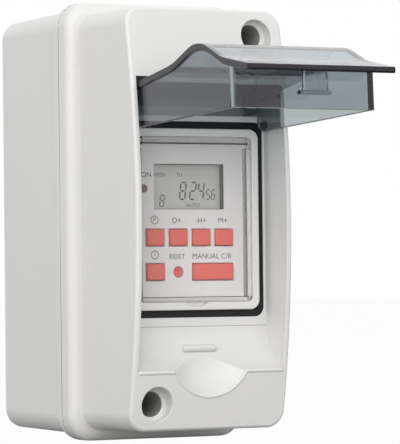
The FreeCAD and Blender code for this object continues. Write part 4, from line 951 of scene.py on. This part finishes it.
def stacked(rings, x, z):
    """A closed skin through rings of (loop, y), with a pole in the middle of each end."""
    grid = np.array([set_at(loop + (x, z), y) for loop, y in rings])
    points, faces = woven(grid)
    ring = np.arange(grid.shape[1])
    after = np.roll(ring, -1)
    last = len(points) - len(ring)
    faces += [(len(points), b, a) for a, b in zip(ring, after)]
    faces += [(len(points) + 1, a, b) for a, b in zip(last + ring, last + after)]
    return np.vstack([points, grid[0].mean(0), grid[-1].mean(0)]), faces


KEY_CORNER = 0.65 * MM
KEY_FLANGE = 0.45 * MM
KEY_GAP = 0.1 * MM
KEY_FLANGE_THICK = 0.7 * MM
KEY_STEM = 0.3 * MM
KEY_OVERLAP = 0.1 * MM
KEY_EDGE = 0.45 * MM
STEM_HALF = 1.0 * MM


def square_loop(half):
    """A square with its corners rounded by a sixth of its half width."""
    return rounded_loop(half, half, half / 6)


def stem(back_y, flange_y, x, z):
    """A key's square stem, from the switch into the flange."""
    square = square_loop(STEM_HALF)
    return stacked([(square, back_y), (square, flange_y - KEY_OVERLAP)], x, z)


# A cap's foot on the flange is as wide as in the CAD model, and the cap is a little
# slimmer, so that it stands clear of its hole. Its top edge is a quarter circle.
for name in ("program", "day", "hour", "minute", "clock", "manual"):
    low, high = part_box("button_" + name)
    x, z = (low.x + high.x) / 2, (low.z + high.z) / 2
    flange_half = np.array([high.x - low.x, high.z - low.z]) / 2
    foot_half = flange_half - KEY_FLANGE
    cap_half = foot_half - KEY_GAP
    flange_back = high.y - KEY_STEM
    flange_front = flange_back - KEY_FLANGE_THICK
    rings = [
        (rounded_loop(*flange_half, KEY_CORNER), flange_back),
        (rounded_loop(*flange_half, KEY_CORNER), flange_front),
        (rounded_loop(*foot_half, KEY_CORNER), flange_front),
    ]
    for angle in np.linspace(0, np.pi / 2, 5):
        inset = KEY_EDGE * (1 - math.cos(angle))
        y = low.y + KEY_EDGE * (1 - math.sin(angle))
        rings.append((rounded_loop(*(cap_half - inset), KEY_CORNER), y))
    cap = joined([stacked(rings, x, z), stem(high.y, flange_back, x, z)])
    piece = mesh_piece("key_" + name, *cap, key.material, name + "_key", "key_plastic", smooth=True)
    piece.modifiers.new("normals", "WEIGHTED_NORMAL")
    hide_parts("button_" + name)

# The reset key is a plunger in a round hole, with a dimple for the point of a pen.
# Its edge and its dimple are each rounded in two steps.
reset_low, reset_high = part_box("reset_button")
RESET_RADIUS = 1.25 * MM
RESET_FLANGE = 1.9 * MM
RESET_EDGE = 0.2 * MM
EDGE_STEP = 0.3 * RESET_EDGE
DIMPLE_DEEP = 0.4 * MM
DIMPLE_RADIUS = 0.75 * MM
DIMPLE_HALFWAY = 0.92 * DIMPLE_RADIUS
DIMPLE_FLOOR = 0.5 * DIMPLE_RADIUS


def circle(radius, steps=36):
    """Points (x, z) of a circle about the origin."""
    angle = np.linspace(0, 2 * np.pi, steps, endpoint=False)
    return radius * np.column_stack([np.cos(angle), np.sin(angle)])


reset_x, reset_z = (reset_low.x + reset_high.x) / 2, (reset_low.z + reset_high.z) / 2
flange_back = reset_high.y - KEY_STEM
flange_front = flange_back - KEY_FLANGE_THICK
face = reset_low.y
plunger = stacked([
    (circle(RESET_RADIUS), flange_front + KEY_OVERLAP),
    (circle(RESET_RADIUS), face + RESET_EDGE),
    (circle(RESET_RADIUS - EDGE_STEP), face + EDGE_STEP),
    (circle(RESET_RADIUS - RESET_EDGE), face),
    (circle(DIMPLE_RADIUS), face),
    (circle(DIMPLE_HALFWAY), face + DIMPLE_DEEP / 2),
    (circle(DIMPLE_FLOOR), face + DIMPLE_DEEP),
], reset_x, reset_z)
square = square_loop(RESET_FLANGE)
flange = stacked([(square, flange_back), (square, flange_front)], reset_x, reset_z)
whole = joined([plunger, flange, stem(reset_high.y, flange_back, reset_x, reset_z)])
piece = mesh_piece("key_reset", *whole, key.material, "reset_key", "key_plastic", smooth=True)
piece.modifiers.new("normals", "WEIGHTED_NORMAL")
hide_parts("reset_button")


# Lamp. A small round lamp of dark red clear plastic, which shows through the
# panel when the load is switched on. It is off here.
lamp_finish = Finish("lamp_plastic", {"Roughness": 0.15, "Coat Weight": 0.5})
core = lamp_finish.noise(900.0, 2.0)
lamp_finish.feed("Base Color", lamp_finish.blend(core, screen(78, 16, 16), screen(112, 30, 26)))
dress(frame["nodes"]["status_led"], lamp_finish.material)


# Clear lid. A polished lid of clear styrene over the panel, with a thin skirt on
# three sides and two pins at its top.
clear = Finish("clear_styrene", {
    "Transmission Weight": 1.0,
    "IOR": 1.5,
    "Base Color": (0.97, 0.975, 0.98, 1.0),
})
haze = clear.noise(90.0, 3.0)
clear.feed("Roughness", haze * 0.02)
clear.relief(clear.noise(55.0, 2.0), 0.006 * MM)
takes_in_light(clear, (0.7, 0.72, 0.75, 1.0), 60.0)
lets_light_through(clear, (0.915, 0.915, 0.915, 1.0))

# Its rounded edges show most of all, so they have a step more, and on its thin
# walls they are kept from running into each other.
lid = finished("clear_lid", clear.material, edge=0.35 * MM)
lid.modifiers["edges"].use_clamp_overlap = True
lid.modifiers["edges"].segments = 3

# The skirt's two sides and its lower wall are rougher than the polished face, and
# their darker grey tint is painted shade for the dark lines seen through them.
FACING = 0.7
# Painted shade: a grey tint that darkens the skirt's walls.
side = Finish("clear_side_painted_shade", {
    "Transmission Weight": 1.0,
    "IOR": 1.5,
    "Base Color": (0.37, 0.37, 0.37, 1.0),
})
side.feed("Roughness", side.noise(400.0, 3.0) * 0.2 + 0.05)
lets_light_through(side, (0.9, 0.9, 0.9, 1.0))
lid.data.materials.append(side.material)
for face in lid.data.polygons:
    sideways = abs(face.normal.x) > FACING
    below = abs(face.normal.z) > FACING and face.center.z < 0
    if sideways or below:
        face.material_index = 1


# Boards and what they carry, all inside: green lacquered boards, a blue relay,
# a mustard film capacitor, black switches, chip and header, plated brass clamps.
def inner_finish(name, colour, roughness, scale, metallic=0.0):
    """A plain inner surface with a little mottling at the given scale."""
    finish = Finish(name, {"Metallic": metallic})
    mottle = finish.noise(scale, 3.0)
    finish.feed("Base Color", finish.blend(mottle, shaded(colour, 0.8), colour))
    finish.feed("Roughness", mottle * 0.15 + roughness)
    finish.relief(mottle, 0.01 * MM)
    return finish.material


lacquer = inner_finish("board_lacquer", screen(24, 110, 58), 0.3, 800.0)
black = inner_finish("black_plastic", screen(36, 36, 38), 0.45, 1200.0)
relay_blue = inner_finish("relay_plastic", screen(38, 84, 150), 0.35, 300.0)
film = inner_finish("capacitor_plastic", screen(196, 138, 44), 0.35, 300.0)
brass = inner_finish("plated_brass", screen(214, 196, 140), 0.25, 900.0, metallic=1.0)
INNER = {
    "display_board": lacquer,
    "power_board": lacquer,
    "tact_switches": black,
    "controller_chip": black,
    "board_header": black,
    "filter_capacitor": black,
    "din_clip": black,
    "relay": relay_blue,
    "dropper_capacitor": film,
    "terminal_clamps": brass,
}
for node, material in INNER.items():
    dress(frame["nodes"][node], material)
